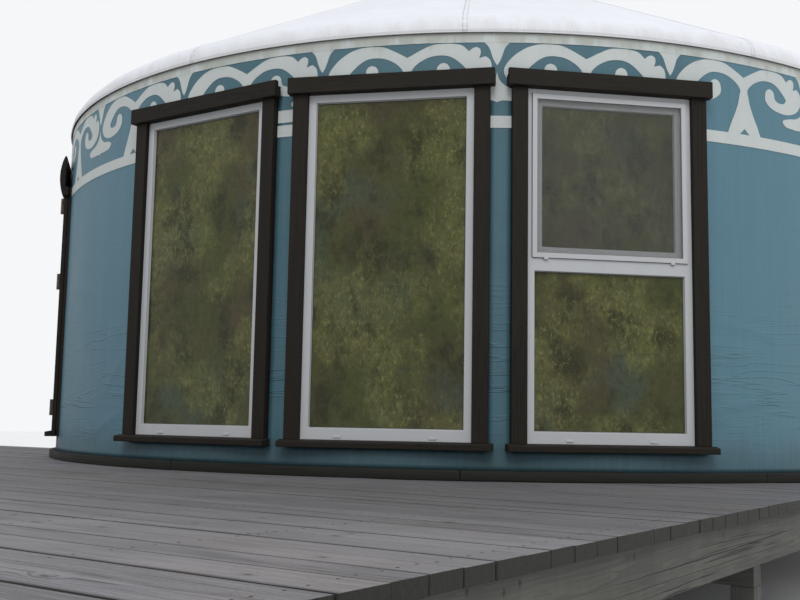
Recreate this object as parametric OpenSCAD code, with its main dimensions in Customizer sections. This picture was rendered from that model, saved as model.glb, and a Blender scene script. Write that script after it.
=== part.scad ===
// A round felt-and-canvas yurt with a lattice wall, three glazed windows and a timber door,
// standing on a raised timber terrace. Millimetres. The ground is at z = 0 and the yurt's
// upright axis is the Z axis. The deck boards run along X; the terrace lies towards -Y.
// A place on the wall is given by its azimuth: 0 faces -Y and a positive angle turns towards +X.

/* [Deck] */
// Height of the deck's walking surface above the ground
deck_top = 600; // [450:10:1200]
// Thickness of the deck boards
board_t = 42; // [25:1:60]
// How far the deck reaches past the curb, at the sawn end edge and round the back
deck_rest = 18; // [14:1:400]
// Distance from the yurt's axis to the terrace's far end
deck_far = 4400; // [3600:10:6000]
// Distance from the yurt's axis to the terrace's front edge
deck_front = 6050; // [4500:10:7000]
// Distance from the yurt's axis to the terrace's back edge, beside the yurt
deck_back = 1240; // [1000:10:1500]
// How far the boards stand out past the rim boards
board_over = 30; // [10:1:60]
// Depth of the rim boards
rim_h = 165; // [145:1:260]
// Thickness of the rim boards
rim_t = 38; // [20:1:50]
// Depth of the joists
joist_h = 140; // [100:1:160]
// Thickness of the joists
joist_t = 45; // [35:1:70]
// Distance between the joists' middles
joist_pitch = 600; // [400:10:900]
// How far a beam's end stops short of the rim boards
beam_back = 50; // [5:1:60]
// Depth of the beams under the joists
beam_h = 140; // [100:1:240]
// Width of the beams
beam_w = 90; // [60:1:140]
// Distance between the beams' middles
beam_pitch = 1420; // [1200:10:1500]
// Side of a square post
post_w = 90; // [80:1:150]
// Longest span of a beam between two posts
post_span = 1600; // [1440:10:2200]
// How far an outer post stands back from the rim boards
post_back = 50; // [20:5:200]
// Least distance from the last row of posts to the platform's edge
row_edge = 150; // [120:10:400]

/* [Wall] */
// Height of the wall, from the deck to the eave
wall_h = 2230; // [2150:10:2600]
// Radius of the wall's outer face
wall_r = 3028; // [2750:1:3400]
// Thickness of the wall's felt and canvas
wall_t = 60; // [40:1:80]
// How far the curb stands out past the wall
curb_over = 44; // [30:1:60]
// Height of the curb
curb_h = 49; // [40:1:80]
// Width of the curb, across the wall
curb_w = 150; // [140:1:200]
// Thickness of the floor inside the curb
floor_t = 28; // [18:1:38]
// Number of sawn pieces that make the curb, and the eave ring
felloes = 12; // [10:1:24]
// Number of wall panels behind the windows and the door
back_panels = 8; // [7:1:10]

/* [Lattice] */
// Width of a lattice slat
slat_w = 30; // [20:1:40]
// Thickness of a lattice slat
slat_t = 11; // [8:1:14]
// Number of diamonds up the wall
slat_rows = 4; // [3:1:5]
// Number of diamonds across one bay behind
slat_cols = 4; // [3:1:5]
// Number of diamonds across the bay between the door and the first window
slat_cols_near = 3; // [1:1:4]
// Gap between the lattice and the felt
lat_gap = 1.5; // [0.5:0.1:3]
// Width of the eave ring, across the wall
eave_w = 70; // [60:1:100]
// Height of the eave ring
eave_h = 60; // [40:1:80]
// How far the eave ring's top stands over the wall's
eave_over = 20; // [5:1:30]
// Gap between the eave ring and the felt
eave_gap = 8; // [2:1:12]

/* [Roof] */
// Slope of the roof, in degrees
pitch = 28; // [22:1:36]
// Thickness of the roof's felt and canvas
cover_t = 40; // [25:1:50]
// How far the roof cover stands out past the wall
cover_over = 15; // [5:1:30]
// Radius of the roof's rounded shoulder
shoulder_r = 150; // [120:1:180]
// Number of roof poles, three to each gore of the cover
poles = 36; // [24:3:48]
// Width of a roof pole
pole_w = 38; // [28:1:50]
// Depth of a roof pole
pole_d = 55; // [40:1:70]
// Outer radius of the crown
crown_r = 720; // [600:10:800]
// Width of the crown's ring, across the ring
crown_w = 80; // [60:1:100]
// Height of the crown's ring
crown_h = 150; // [140:1:190]
// How far the crown's foot hangs below the poles
crown_drop = 18; // [10:1:30]
// How far a roof pole goes into the crown
mortise = 45; // [20:1:55]
// Rise of the crown's bent bars above their ends
crown_rise = 180; // [120:5:240]
// Side of a crown bar
crown_bar = 30; // [20:1:40]
// Distance between the middles of two neighbouring crown bars
crown_bar_pitch = 150; // [90:5:180]
// Thickness of the cap over the crown
cap_t = 12; // [6:1:20]
// How far the cap laps over the roof cover
cap_lap = 130; // [80:5:200]
// Room between the crown's bars and the cap
cap_room = 12; // [5:1:30]

/* [Windows] */
// Azimuth of the first window
window_1_az = 1.6; // [-1:0.05:3]
// Clear width between the casings of two neighbouring windows
window_gap = 105.6; // [60:0.1:200]
// Width of a white window frame
frame_w = 863; // [760:1:880]
// Distance from the eave down to the tops of the window frames
frame_drop = 287; // [260:1:500]
// Height of the window frame's foot above the deck
frame_up = 179; // [160:1:260]
// How far a window frame's outer face is set in from the wall's
frame_set = 20; // [14:1:24]
// Depth of a window frame
frame_d = 65; // [50:1:75]
// Width of the frame's sides and top
frame_side = 41; // [35:1:60]
// Width of the frame's bottom rail
frame_foot = 58; // [45:1:80]
// Thickness of a sealed glass unit
glass_t = 24; // [16:1:32]
// How far a fixed unit's outer face is set in from its frame's
glass_set = 18; // [10:1:24]
// Depth of the groove that holds a glass unit
rebate = 12; // [8:1:16]
// Height of the transom's middle in the third window, above the frame's foot
transom_up = 883.5; // [700:0.5:1200]
// Width of the transom
transom_w = 80; // [45:1:90]
// Width of the opening sash's own frame
sash_side = 38; // [24:1:45]
// Gap round the opening sash
sash_gap = 3; // [2:0.5:5]
// How far the opening sash's face is set in from its frame's
sash_set = 12; // [8:1:14]
// How far the sash's glass unit is set in from the sash's face
sash_glass_set = 16; // [10:1:20]
// Width of the insect screen's frame
screen_side = 24; // [18:1:30]
// Thickness of the insect screen's frame
screen_t = 9; // [6:0.5:14]
// How far the insect screen laps over the window frame
screen_lap = 14; // [8:1:20]

/* [Trim] */
// Depth of the timber lining round a window or the door, through the wall
lining_d = 108; // [102:1:125]
// Width of the lining's sides
lining_w = 74; // [60:1:76]
// Height of the lining's head
lining_top = 60; // [45:1:75]
// Height of the sill, and of the lining's foot
sill_h = 38; // [30:1:50]
// Width of a side casing
casing_w = 80; // [70:1:84]
// Thickness of a side casing
casing_t = 25; // [18:1:30]
// Height of a window's head board
head_h = 86; // [70:1:110]
// How far a head board stands out from the frames
head_out = 50; // [40:1:60]
// How far a sill stands out from the frames
sill_out = 65; // [50:1:80]
// Fall of a sill's weathered slope
sill_fall = 8; // [3:1:15]
// How far a head board or a sill runs past the casings
trim_over = 25; // [10:1:30]
// Width of a stud behind the lining
stud_w = 70; // [50:1:70]
// Depth of a stud
stud_d = 50; // [40:1:60]

/* [Door] */
// Length of wall between the door's bay and the first window's bay
near_wall = 1160; // [880:1:1250]
// Width of the opening between the door's casings
door_w = 900; // [800:1:920]
// Distance from the eave down to the door's head
door_drop = 487; // [280:1:560]
// Thickness of the door leaf
leaf_t = 44; // [36:1:48]
// Gap between the leaf and its frame
leaf_gap = 6; // [5:0.5:7]
// Further gap at the leaf's latch side
latch_gap = 2; // [1:0.5:4]
// Height of the bellied head board over the door
door_head_h = 267; // [160:1:275]
// How far the bellied head board swells past the casings
belly = 28; // [20:1:50]
// Width of the leaf's stiles and top rail
stile_w = 115; // [90:1:140]
// Height of the leaf's bottom rail
foot_rail_h = 184; // [120:1:240]
// Height of the rail between the two lower fields
mid_rail_h = 80; // [60:1:120]
// Height of the rail that holds the latch
lock_rail_h = 160; // [120:1:200]
// Width of the sunk border round a raised panel
field_w = 28; // [15:1:40]
// Depth of the leaf's sunk borders
panel_sink = 9; // [5:1:12]
// Length of a hinge
hinge_l = 105; // [75:1:130]
// Radius of a hinge's knuckle
knuckle_r = 13; // [10:1:14]
// Radius of a hinge's pin
pin_r = 4; // [3:0.5:5]
// Thickness of a hinge's leaves
hinge_t = 4; // [3:0.5:6]
// Reach of a hinge's leaves from its pin
hinge_w = 46; // [30:1:60]
// Height of the lowest hinge's middle above the deck
hinge_low = 330; // [300:5:450]
// Height of the middle hinge's middle above the deck
hinge_mid = 1170; // [900:5:1400]
// Distance from the door's head down to the top hinge
hinge_drop = 5.5; // [4:0.5:100]
// Height of the door handle above the deck
handle_up = 1180; // [1050:5:1250]
// Length of a lever, past its spindle
lever_l = 111; // [90:1:130]
// Height of a lever
lever_w = 18; // [14:1:24]
// Thickness of a lever
lever_t = 14; // [10:1:18]
// Distance from the leaf's face to the middle of a lever
lever_out = 45; // [35:1:60]
// Radius of the round plate behind a lever
rose_r = 24; // [20:1:30]
// Thickness of the round plate behind a lever
rose_t = 8; // [5:1:12]

/* [Hidden] */
$fn = 180;
// Names of all the pieces

// Colours
grey_wood = [0.50, 0.50, 0.50];
dark_wood = [0.17, 0.13, 0.11];
pale_wood = [0.72, 0.55, 0.36];
teal = [0.33, 0.55, 0.60];
canvas = [0.90, 0.91, 0.95];
white = [0.90, 0.90, 0.88];
glass_tint = [0.35, 0.42, 0.36, 0.5];
iron = [0.35, 0.32, 0.30];

// Clearance between two pieces that lie against each other
seat = 0.3;
// Extra length of a cutting shape past what it cuts
past = 5;
// Angle between two panels or felloes that lie end to end, about a millimetre
joint_a = 0.02;
// Running clearance round a hinge pin
pin_gap = 0.4;
// Gap between two boards or felloes that lie end to end
end_gap = 1;
// Clearance over, under and behind a pole in its mortise
mortise_gap = 2;
// Overlap that fuses the slats where they cross
slat_lap = 1;
// Side angle between two sides of the twelve-sided platform
side_a = 30;

// Radii of the wall, what stands on it and what it stands on
wall_in = wall_r - wall_t;
curb_r = wall_r + curb_over;
curb_in = curb_r - curb_w;
deck_end = curb_r + deck_rest;
frame_plane = wall_r - frame_set;
cover_r = wall_r + cover_over;
lat_out = wall_in - lat_gap;
lat_mid = lat_out - slat_t;
lat_in = lat_mid - slat_t + slat_lap;

// Heights
board_z = deck_top - board_t;
joist_z = board_z - joist_h;
beam_z = joist_z - beam_h;
curb_top = deck_top + curb_h;
floor_top = deck_top + floor_t;
eave_z = deck_top + wall_h;
frame_z = deck_top + frame_up;
frame_top = eave_z - frame_drop;
lining_z = frame_z - sill_h;
door_z = frame_z;
door_head_z = eave_z - door_drop;

// Roof: the shoulder's centre, and the ends of its outer and inner arcs
shoulder_c = [cover_r - shoulder_r, eave_z];
normal_a = 90 - pitch;
inner_r = shoulder_r - cover_t;
function on_arc(r, a) = shoulder_c + r * [cos(a), sin(a)];
function slope_z(p, r) = p[1] + (p[0] - r) * tan(pitch);
outer_end = on_arc(shoulder_r, normal_a);
inner_end = on_arc(inner_r, normal_a);
pole_r = inner_r - seat;
pole_end = on_arc(pole_r, normal_a);
pole_low = on_arc(pole_r - pole_d, normal_a);
ring_top = eave_z + eave_over;
ring_z = ring_top - eave_h;
ring_out = wall_in - eave_gap;
ring_in = ring_out - eave_w;
crown_in = crown_r - crown_w;
crown_z = slope_z(pole_low, crown_r) - crown_drop;
crown_top = crown_z + crown_h;

// Windows and door; a bay is the angle that a window takes with half the gap on either side
windows = [0, 1, 2];
half_frame = frame_w / 2;
half_lining = half_frame + seat + lining_w;
half_casing = half_frame + casing_w;
half_bay = atan((half_casing + window_gap / 2) / frame_plane);
function window_az(i) = window_1_az + i * 2 * half_bay;
door_az = window_1_az - 2 * half_bay - near_wall / wall_r * 180 / PI;
half_trim = half_casing + trim_over;
lining_head_z = frame_top + lining_top;
casing_y = frame_plane + casing_t;
lining_back = frame_plane - lining_d;
half_door = door_w / 2;
half_door_casing = half_door + casing_w;
half_jamb = half_door + lining_w;
stop_w = 18;
stop_y = casing_y - leaf_t - leaf_gap;
leaf_r = half_door - leaf_gap;
leaf_l = half_door - leaf_gap - latch_gap;
leaf_z = door_z + leaf_gap;
leaf_top = door_head_z - leaf_gap;
hinge_x = half_door - leaf_gap / 2;
hinge_y = casing_y + knuckle_r;

// Azimuths where the wall behind begins and ends
back_a0 = window_az(2) + half_bay;
back_a1 = 360 + door_az;
back_step = (back_a1 - back_a0) / back_panels;

// Turns a piece that faces -Y to an azimuth
module facing(az) rotate([0, 0, az]) children();

// A box given by its lowest and highest corners
module block(lo, hi) translate(lo) cube(hi - lo);

// A part of a ring between two azimuths, with a square section
module band(r0, r1, z0, z1, a0, a1)
  rotate([0, 0, a0 - 90])
    rotate_extrude(angle = a1 - a0)
      translate([r0, z0]) square([r1 - r0, z1 - z0]);

// A profile drawn as [distance out, height], run along X in front of the axis
module run(half, profile)
  translate([-half, 0, 0]) rotate([90, 0, 90]) linear_extrude(2 * half)
    polygon([for (p = profile) [-p[0], p[1]]]);

// The upright space that the door's jambs and what is over and under them take
module door_bay(grow)
  facing(door_az)
    block([-half_jamb - grow, -curb_r, 0],
          [half_jamb + grow, -wall_in + curb_w, eave_z + past]);

// Plan of the twelve-sided platform under the yurt
module platform_plan(inset)
  rotate(side_a / 2) circle(r = (deck_end - inset) / cos(side_a / 2), $fn = 12);

// Half the length of one side of the platform
function half_side(inset) = (deck_end - inset) * tan(side_a / 2);

// Plan of the terrace, a plain rectangle
module terrace_plan(inset)
  translate([-deck_far + inset, -deck_front + inset])
    square([deck_far + deck_end - 2 * inset, deck_front - deck_back - inset - inset]);

// Plan of everything behind the terrace's back edge
module rear_plan(inset) {
  intersection() {
    platform_plan(inset);
    translate([-deck_far, -deck_back - inset])
      square([deck_far + deck_end, deck_back + deck_front]);
  }
  translate([deck_end / 2, -deck_back - inset])
    square([deck_end / 2 - inset, deck_back + inset + half_side(inset)]);
}

// Plan of the whole deck
module deck_plan(inset) {
  terrace_plan(inset);
  rear_plan(inset);
}

// Deck

// Reach of the deck's plan, drawn in by an inset, to either side at one distance from the axis
function reach_end(y, inset) =
  let (end = deck_end - inset)
    y < half_side(inset) ? end
    : min(end, (end - y * sin(side_a)) / cos(side_a), (end - y * cos(side_a)) / sin(side_a));
function reach_far(y, inset) = y < -deck_back ? deck_far - inset : reach_end(abs(y), inset);
post_face = board_over + rim_t + post_back;
beam_rows = [for (k = [-floor((deck_front - post_face - post_w / 2) / beam_pitch)
                       : floor((deck_end - row_edge) / beam_pitch)]) k * beam_pitch];

module posts() color(grey_wood)
  for (y = beam_rows) {
    x0 = -reach_far(y + post_w / 2, post_face) + post_w / 2;
    x1 = reach_end(y + post_w / 2, post_face) - post_w / 2;
    spans = max(1, ceil((x1 - x0) / post_span));
    for (k = [0 : spans])
      translate([x0 + k * (x1 - x0) / spans, y, 0])
        block([-post_w / 2, -post_w / 2, 0], [post_w / 2, post_w / 2, beam_z]);
  }

module beams() color(grey_wood)
  for (y = beam_rows) {
    intersection() {
      block([-deck_far, y - beam_w / 2, beam_z], [deck_end, y + beam_w / 2, joist_z]);
      translate([0, 0, beam_z - past]) linear_extrude(beam_h + 2 * past)
        deck_plan(board_over + rim_t + beam_back);
    }
  }

module joists() color(grey_wood)
  intersection() {
    for (k = [-floor(deck_far / joist_pitch) : floor(deck_end / joist_pitch)])
      block([k * joist_pitch - joist_t / 2, -deck_front, joist_z],
            [k * joist_pitch + joist_t / 2, deck_end, board_z]);
    translate([0, 0, joist_z - past]) linear_extrude(joist_h + 2 * past)
      deck_plan(board_over + rim_t + seat);
  }

// Outer corners of the rim boards, anticlockwise seen from above
function rim_corners(e) =
  let (end = deck_end - e, side = half_side(e), back = deck_back + e, far = deck_far - e)
    concat(
      [[-far, -deck_front + e], [end, -deck_front + e]],
      [for (k = [0 : 5]) end / cos(side_a / 2) * [cos(side_a * (k + 0.5)), sin(side_a * (k + 0.5))]],
      [[-end, -side], [-(end - back * sin(side_a)) / cos(side_a), -back], [-far, -back]]);

// How much shorter a board's inner face is at the corner b, from a mitre
function mitre(a, b, c) =
  let (u = b - a, v = c - b)
    rim_t * tan(atan2(u[0] * v[1] - u[1] * v[0], u[0] * v[0] + u[1] * v[1]) / 2);

module rim_boards() color(grey_wood) {
  corners = rim_corners(board_over);
  n = len(corners);
  for (i = [0 : n - 1]) {
    from = corners[i];
    to = corners[(i + 1) % n];
    first = mitre(corners[(i + n - 1) % n], from, to);
    last = mitre(from, to, corners[(i + 2) % n]);
    run_l = norm(to - from);
    translate([from[0], from[1], board_z - rim_h])
      rotate([0, 0, atan2(to[1] - from[1], to[0] - from[0])])
        linear_extrude(rim_h)
          polygon([[end_gap, 0], [run_l - end_gap, 0],
                   [run_l - end_gap - last, rim_t], [end_gap + first, rim_t]]);
  }
}

module terrace_deck() color(grey_wood)
  translate([0, 0, board_z]) linear_extrude(board_t)
    translate([-deck_far, -deck_front])
      square([deck_far + deck_end, deck_front - deck_back]);

module platform_deck() color(grey_wood)
  translate([0, 0, board_z]) linear_extrude(board_t) rear_plan(0);

// Base and floor of the yurt

module curb_ring() color(dark_wood)
  for (k = [0 : felloes - 1])
    band(curb_in, curb_r, deck_top, curb_top,
         k * 360 / felloes + joint_a, (k + 1) * 360 / felloes - joint_a);

module floor() color(pale_wood)
  translate([0, 0, deck_top]) cylinder(r = curb_in - seat, h = floor_t);

// Studs beside the openings, from the floor to the eave ring
module stud_pair(az, half)
  facing(az)
    for (s = [-1, 1])
      translate([s * (half - stud_w / 2), 0, 0])
        block([-stud_w / 2, -lining_back + seat, floor_top],
              [stud_w / 2, -lining_back + stud_d, ring_z]);

// The space that the studs' feet are notched for, round the curb
module curb_notch()
  difference() {
    translate([0, 0, deck_top]) cylinder(r = curb_r, h = curb_h + seat);
    cylinder(r = curb_in - seat, h = eave_z);
  }

module wall_studs() color(pale_wood)
  difference() {
    union() {
      for (i = windows)
        stud_pair(window_az(i), half_lining);
      stud_pair(door_az, half_jamb);
    }
    curb_notch();
  }

// Wall of felt and canvas

module wall_arc(a0, a1)
  band(wall_in, wall_r, curb_top + seat, eave_z - seat, a0 + joint_a, a1 - joint_a);

module wall_window(i) color(teal)
  difference() {
    wall_arc(window_az(i) - half_bay, window_az(i) + half_bay);
    facing(window_az(i))
      block([-half_lining - seat, -curb_r, lining_z - seat],
            [half_lining + seat, -lining_back, lining_head_z + seat]);
  }

module wall_at_door() color(teal)
  difference() {
    intersection() {
      wall_arc(door_az - half_bay, door_az + half_bay);
      door_bay(0);
    }
    facing(door_az)
      block([-curb_r, -curb_r, lining_z - seat], [curb_r, 0, door_head_z + lining_top + seat]);
  }

module wall_by_door() color(teal)
  difference() {
    wall_arc(door_az + half_bay / 2, window_az(0) - half_bay);
    door_bay(seat);
  }

// Back panels are counted from the third window round to the door
module wall_back(first, last) color(teal)
  difference() {
    for (k = [first : last])
      wall_arc(back_a0 + k * back_step,
               back_a0 + (k + 1) * back_step - (k == back_panels - 1 ? half_bay / 2 : 0));
    door_bay(seat);
  }

// Lattice

// Ends of the four lattice stretches, kept clear of the linings
lat_edge = 0.3;
row_h = (ring_z - curb_top) / slat_rows;
function lining_a(half) = asin(half / lat_in) + lat_edge;
near_a0 = door_az + lining_a(half_jamb);
near_a1 = window_az(0) - lining_a(half_lining);
rear_a0 = window_az(2) + lining_a(half_lining);
rear_a1 = 360 + door_az - lining_a(half_jamb);
bay_a = (rear_a1 - rear_a0) / back_panels;
// How far a slat's free end runs past its last crossing
slat_tail = 28;

// How far a bay's slats reach past their outermost crossings, as an angle
function slat_reach(cols, span) =
  let (col_w = span / cols * PI / 180 * lat_out, slope = atan2(row_h, col_w))
    asin((slat_w / 2 / sin(slope) + slat_tail * cos(slope)) / lat_in) + joint_a;

// One straight length of a slat, on the chord between two levels; r is its outer face
module slat_length(r, a0, a1, z, low_tail, high_tail) {
  across = 2 * r * sin((a1 - a0) / 2);
  along = norm([across, row_h]);
  facing((a0 + a1) / 2)
    translate([0, -r * cos((a1 - a0) / 2), z + row_h / 2])
      rotate([0, -atan2(row_h, across), 0])
        translate([-along / 2 - low_tail, 0, -slat_w / 2])
          cube([along + low_tail + high_tail, slat_t, slat_w]);
}

// One slat from row r0 to row r1, which moves by the angle step in each row
module slat(r, a_foot, step, r0, r1)
  for (i = [r0 : r1 - 1])
    slat_length(r, a_foot + i * step, a_foot + (i + 1) * step, curb_top + i * row_h,
                i == r0 ? slat_tail : slat_lap, i == r1 - 1 ? slat_tail : slat_lap);

// One bay: slats that lean one way outside, and the other way inside, fused where they cross
module lattice_bay(a0, a1, cols) {
  reach = slat_reach(cols, a1 - a0);
  step = (a1 - a0 - 2 * reach) / cols;
  intersection() {
    for (k = [1 - slat_rows : cols - 1]) {
      r0 = max(0, -k);
      r1 = min(slat_rows, cols - k);
      slat(lat_out, a0 + reach + k * step, step, r0, r1);
      slat(lat_mid + slat_lap, a1 - reach - k * step, -step, r0, r1);
    }
    translate([0, 0, curb_top]) cylinder(r = wall_in, h = ring_z - curb_top);
  }
}

module lattice_by_door() color(pale_wood)
  lattice_bay(near_a0, near_a1, slat_cols_near);

module lattice_back(first, last) color(pale_wood)
  for (k = [first : last])
    lattice_bay(rear_a0 + k * bay_a, rear_a0 + (k + 1) * bay_a, slat_cols);

module eave_ring() color(pale_wood)
  for (k = [0 : felloes - 1])
    band(ring_in, ring_out, ring_z, ring_top,
         k * 360 / felloes + joint_a, (k + 1) * 360 / felloes - joint_a);

// Roof

// Side view of a pole, as [radius, height]: its heel is bent down onto the eave ring
heel_a = asin((ring_top + seat - eave_z) / pole_r);
heel_steps = 5;
pole_side = concat(
  [[crown_r - mortise, slope_z(pole_low, crown_r - mortise)],
   [crown_r - mortise, slope_z(pole_end, crown_r - mortise)]],
  [for (i = [heel_steps : -1 : 0])
    on_arc(pole_r, heel_a + (normal_a - heel_a) * i / heel_steps)],
  [[ring_in, ring_top + seat], [ring_in, slope_z(pole_low, ring_in)]]);

function pole_az(k) = (k + 0.5) * 360 / poles;

module roof_poles() color(pale_wood)
  for (k = [0 : poles - 1])
    facing(pole_az(k))
      rotate([90, 0, -90]) translate([0, 0, -pole_w / 2])
        linear_extrude(pole_w) polygon(pole_side);

// A gore of the cover takes three poles, and a felloe of the crown two
gores = poles / 3;
gore_a = 360 / gores;
crown_felloes = poles / 2;
crown_a = 360 / crown_felloes;
crown_joint_a = end_gap / crown_r * 90 / PI;

// Felloes of the crown, with a mortise for each pole
module crown_ring() color(dark_wood)
  difference() {
    for (k = [0 : crown_felloes - 1])
      band(crown_in, crown_r, crown_z, crown_top,
           k * crown_a + crown_joint_a, (k + 1) * crown_a - crown_joint_a);
    for (k = [0 : poles - 1])
      facing(pole_az(k))
        block([-pole_w / 2 - seat, -crown_r - past, slope_z(pole_low, crown_r) - mortise_gap],
              [pole_w / 2 + seat, -crown_r + mortise + mortise_gap,
               slope_z(pole_end, crown_r - mortise) + mortise_gap]);
  }

// Bent bars of the crown, three each way
bar_span = crown_in - seat;
bend_r = (pow(bar_span, 2) + pow(crown_rise, 2)) / (2 * crown_rise);
bend_a = asin(bar_span / bend_r);
bar_z = crown_z + crown_h / 2;

module crown_bars() color(dark_wood)
  intersection() {
    for (turn = [0, 90]) for (s = [-1, 0, 1])
      rotate([0, 0, turn])
        translate([0, s * crown_bar_pitch + crown_bar / 2, bar_z + crown_rise - bend_r])
          rotate([90, 0, 0])
            rotate([0, 0, 90 - bend_a])
              rotate_extrude(angle = 2 * bend_a)
                translate([bend_r - crown_bar / 2, 0]) square(crown_bar);
    cylinder(r = bar_span, h = crown_top + crown_rise + crown_bar);
  }

// Section of the cover: skirt, shoulder and slope, with its own thickness
shoulder_steps = 6;
cover_side = concat(
  [for (i = [0 : shoulder_steps]) on_arc(shoulder_r, normal_a * i / shoulder_steps)],
  [[crown_r + seat, slope_z(outer_end, crown_r + seat)],
   [crown_r + seat, slope_z(inner_end, crown_r + seat)]],
  [for (i = [shoulder_steps : -1 : 0]) on_arc(inner_r, normal_a * i / shoulder_steps)]);

module roof_cover() color(canvas)
  for (k = [0 : gores - 1])
    rotate([0, 0, k * gore_a + joint_a - 90])
      rotate_extrude(angle = gore_a - 2 * joint_a)
        polygon(cover_side);

// Section of the cap over the crown: a dome, a step down at its foot and a lap on the cover
cap_r = crown_r + cap_lap;
cap_foot_r = crown_r + cap_t + cap_room;
cap_in_z = crown_top + seat;
cap_peak = bar_z + crown_rise + crown_bar / 2 + cap_room;
function cap_z(r) = cap_in_z + (cap_peak - cap_in_z) * cos(90 * r / crown_r);
cap_steps = 6;
cap_side = concat(
  [for (i = [0 : cap_steps]) let (r = crown_r * i / cap_steps) [r, cap_z(r)]],
  [[cap_foot_r, slope_z(outer_end, cap_foot_r) + seat],
   [cap_r, slope_z(outer_end, cap_r) + seat],
   [cap_r, slope_z(outer_end, cap_r) + seat + cap_t],
   [cap_foot_r + cap_t / 2, slope_z(outer_end, cap_foot_r) + seat + cap_t]],
  [for (i = [cap_steps : -1 : 0])
    let (r = crown_r * i / cap_steps) [r + (i == cap_steps ? cap_t / 2 : 0), cap_z(r) + cap_t]]);

module crown_cap() color(canvas)
  rotate_extrude() polygon(cap_side);

// Windows

// A flat ring: outer box less inner box, both [left, foot, right, head]
module frame_ring(outer, inner, y_front, y_back)
  difference() {
    block([outer[0], -y_front, outer[1]], [outer[2], -y_back, outer[3]]);
    block([inner[0], -y_front - past, inner[1]], [inner[2], -y_back + past, inner[3]]);
  }

// A frame with a groove that holds a sealed glass unit
module glazed_frame(outer, inner, y_front, y_back, glass_y)
  difference() {
    frame_ring(outer, inner, y_front, y_back);
    block([inner[0] - rebate, -glass_y - seat, inner[1] - rebate],
          [inner[2] + rebate, -glass_y + glass_t + seat, inner[3] + rebate]);
  }

module glass_unit(inner, glass_y)
  block([inner[0] - rebate + seat, -glass_y, inner[1] - rebate + seat],
        [inner[2] + rebate - seat, -glass_y + glass_t, inner[3] + rebate - seat]);

frame_box = [-half_frame, frame_z, half_frame, frame_top];
light_box = [-half_frame + frame_side, frame_z + frame_foot,
             half_frame - frame_side, frame_top - frame_side];
transom_z = frame_z + transom_up;
low_box = [light_box[0], light_box[1], light_box[2], transom_z - transom_w / 2];
high_box = [light_box[0], transom_z + transom_w / 2, light_box[2], light_box[3]];
frame_glass_y = frame_plane - glass_set;

// The opening sash sits in the upper light, clear all round
sash_front = frame_plane - sash_set;
sash_back = frame_plane - frame_d;
sash_box = [high_box[0] + sash_gap, high_box[1] + sash_gap,
            high_box[2] - sash_gap, high_box[3] - sash_gap];
sash_light = [sash_box[0] + sash_side, sash_box[1] + sash_side,
              sash_box[2] - sash_side, sash_box[3] - sash_side];
sash_glass_y = sash_front - sash_glass_set;
// Hinge lugs of the sash: height, thickness, and distances from the sash's back and corners
lug_h = 60;
lug_t = 12;
lug_set = 8;
lug_in = 90;
// The insect screen lies on the frame's face; its mesh is set out from the screen's back
screen_back = frame_plane + seat;
screen_box = [high_box[0] - screen_lap, high_box[1] - screen_lap,
              high_box[2] + screen_lap, high_box[3] + screen_lap];
screen_light = [screen_box[0] + screen_side, screen_box[1] + screen_side,
                screen_box[2] - screen_side, screen_box[3] - screen_side];
mesh_out = 3;
mesh_t = 1;

module window_linings() color(dark_wood)
  for (i = windows)
    facing(window_az(i))
      frame_ring([-half_lining, lining_z, half_lining, lining_head_z],
                 [-half_frame - seat, frame_z, half_frame + seat, frame_top + seat],
                 frame_plane, lining_back);

module casing_pair(half, z0, z1)
  for (s = [-1, 1])
    translate([s * (half + casing_w / 2), 0, 0])
      block([-casing_w / 2, -casing_y, z0], [casing_w / 2, -frame_plane, z1]);

module window_casings() color(dark_wood)
  for (i = windows)
    facing(window_az(i)) casing_pair(half_frame, frame_z + seat, frame_top - seat);

// Section of a head board: it steps back under the wall's bulge to reach the lining
head_side = [
  [frame_plane, frame_top], [frame_plane + head_out, frame_top],
  [frame_plane + head_out, frame_top + head_h], [wall_r + seat, frame_top + head_h],
  [wall_r + seat, lining_head_z], [frame_plane, lining_head_z]];

module window_head_boards() color(dark_wood)
  for (i = windows)
    facing(window_az(i)) run(half_trim, head_side);

// Section of a sill, with a weathered slope on top
sill_side = [
  [frame_plane, lining_z], [frame_plane + sill_out, lining_z],
  [frame_plane + sill_out, frame_z - sill_fall], [casing_y, frame_z], [frame_plane, frame_z]];

module window_sills() color(dark_wood)
  for (i = windows)
    facing(window_az(i)) run(half_trim, sill_side);

module fixed_frame(i) color(white)
  facing(window_az(i))
    glazed_frame(frame_box, light_box, frame_plane, frame_plane - frame_d, frame_glass_y);

module window_3_frame() color(white)
  facing(window_az(2))
    difference() {
      glazed_frame(frame_box, low_box, frame_plane, frame_plane - frame_d, frame_glass_y);
      block([high_box[0], -frame_plane - past, high_box[1]],
            [high_box[2], -frame_plane + frame_d + past, high_box[3]]);
    }

module window_glass() color(glass_tint) {
  for (i = [0, 1])
    facing(window_az(i)) glass_unit(light_box, frame_glass_y);
  facing(window_az(2)) {
    glass_unit(low_box, frame_glass_y);
    glass_unit(sash_light, sash_glass_y);
  }
}

// The sash, with two hinge lugs that reach across the gap to the frame
module window_3_sash() color(white)
  facing(window_az(2)) {
    glazed_frame(sash_box, sash_light, sash_front, sash_back, sash_glass_y);
    for (z = [sash_box[1] + lug_in, sash_box[3] - lug_in])
      block([high_box[0] + seat, -sash_back - lug_set - lug_t, z - lug_h / 2],
            [sash_box[0] + past, -sash_back - lug_set, z + lug_h / 2]);
  }

module window_3_screen() color(white)
  facing(window_az(2)) {
    frame_ring(screen_box, screen_light, screen_back + screen_t, screen_back);
    block([screen_light[0] - past, -screen_back - mesh_out - mesh_t, screen_light[1] - past],
          [screen_light[2] + past, -screen_back - mesh_out, screen_light[3] + past]);
  }

// Door

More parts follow.
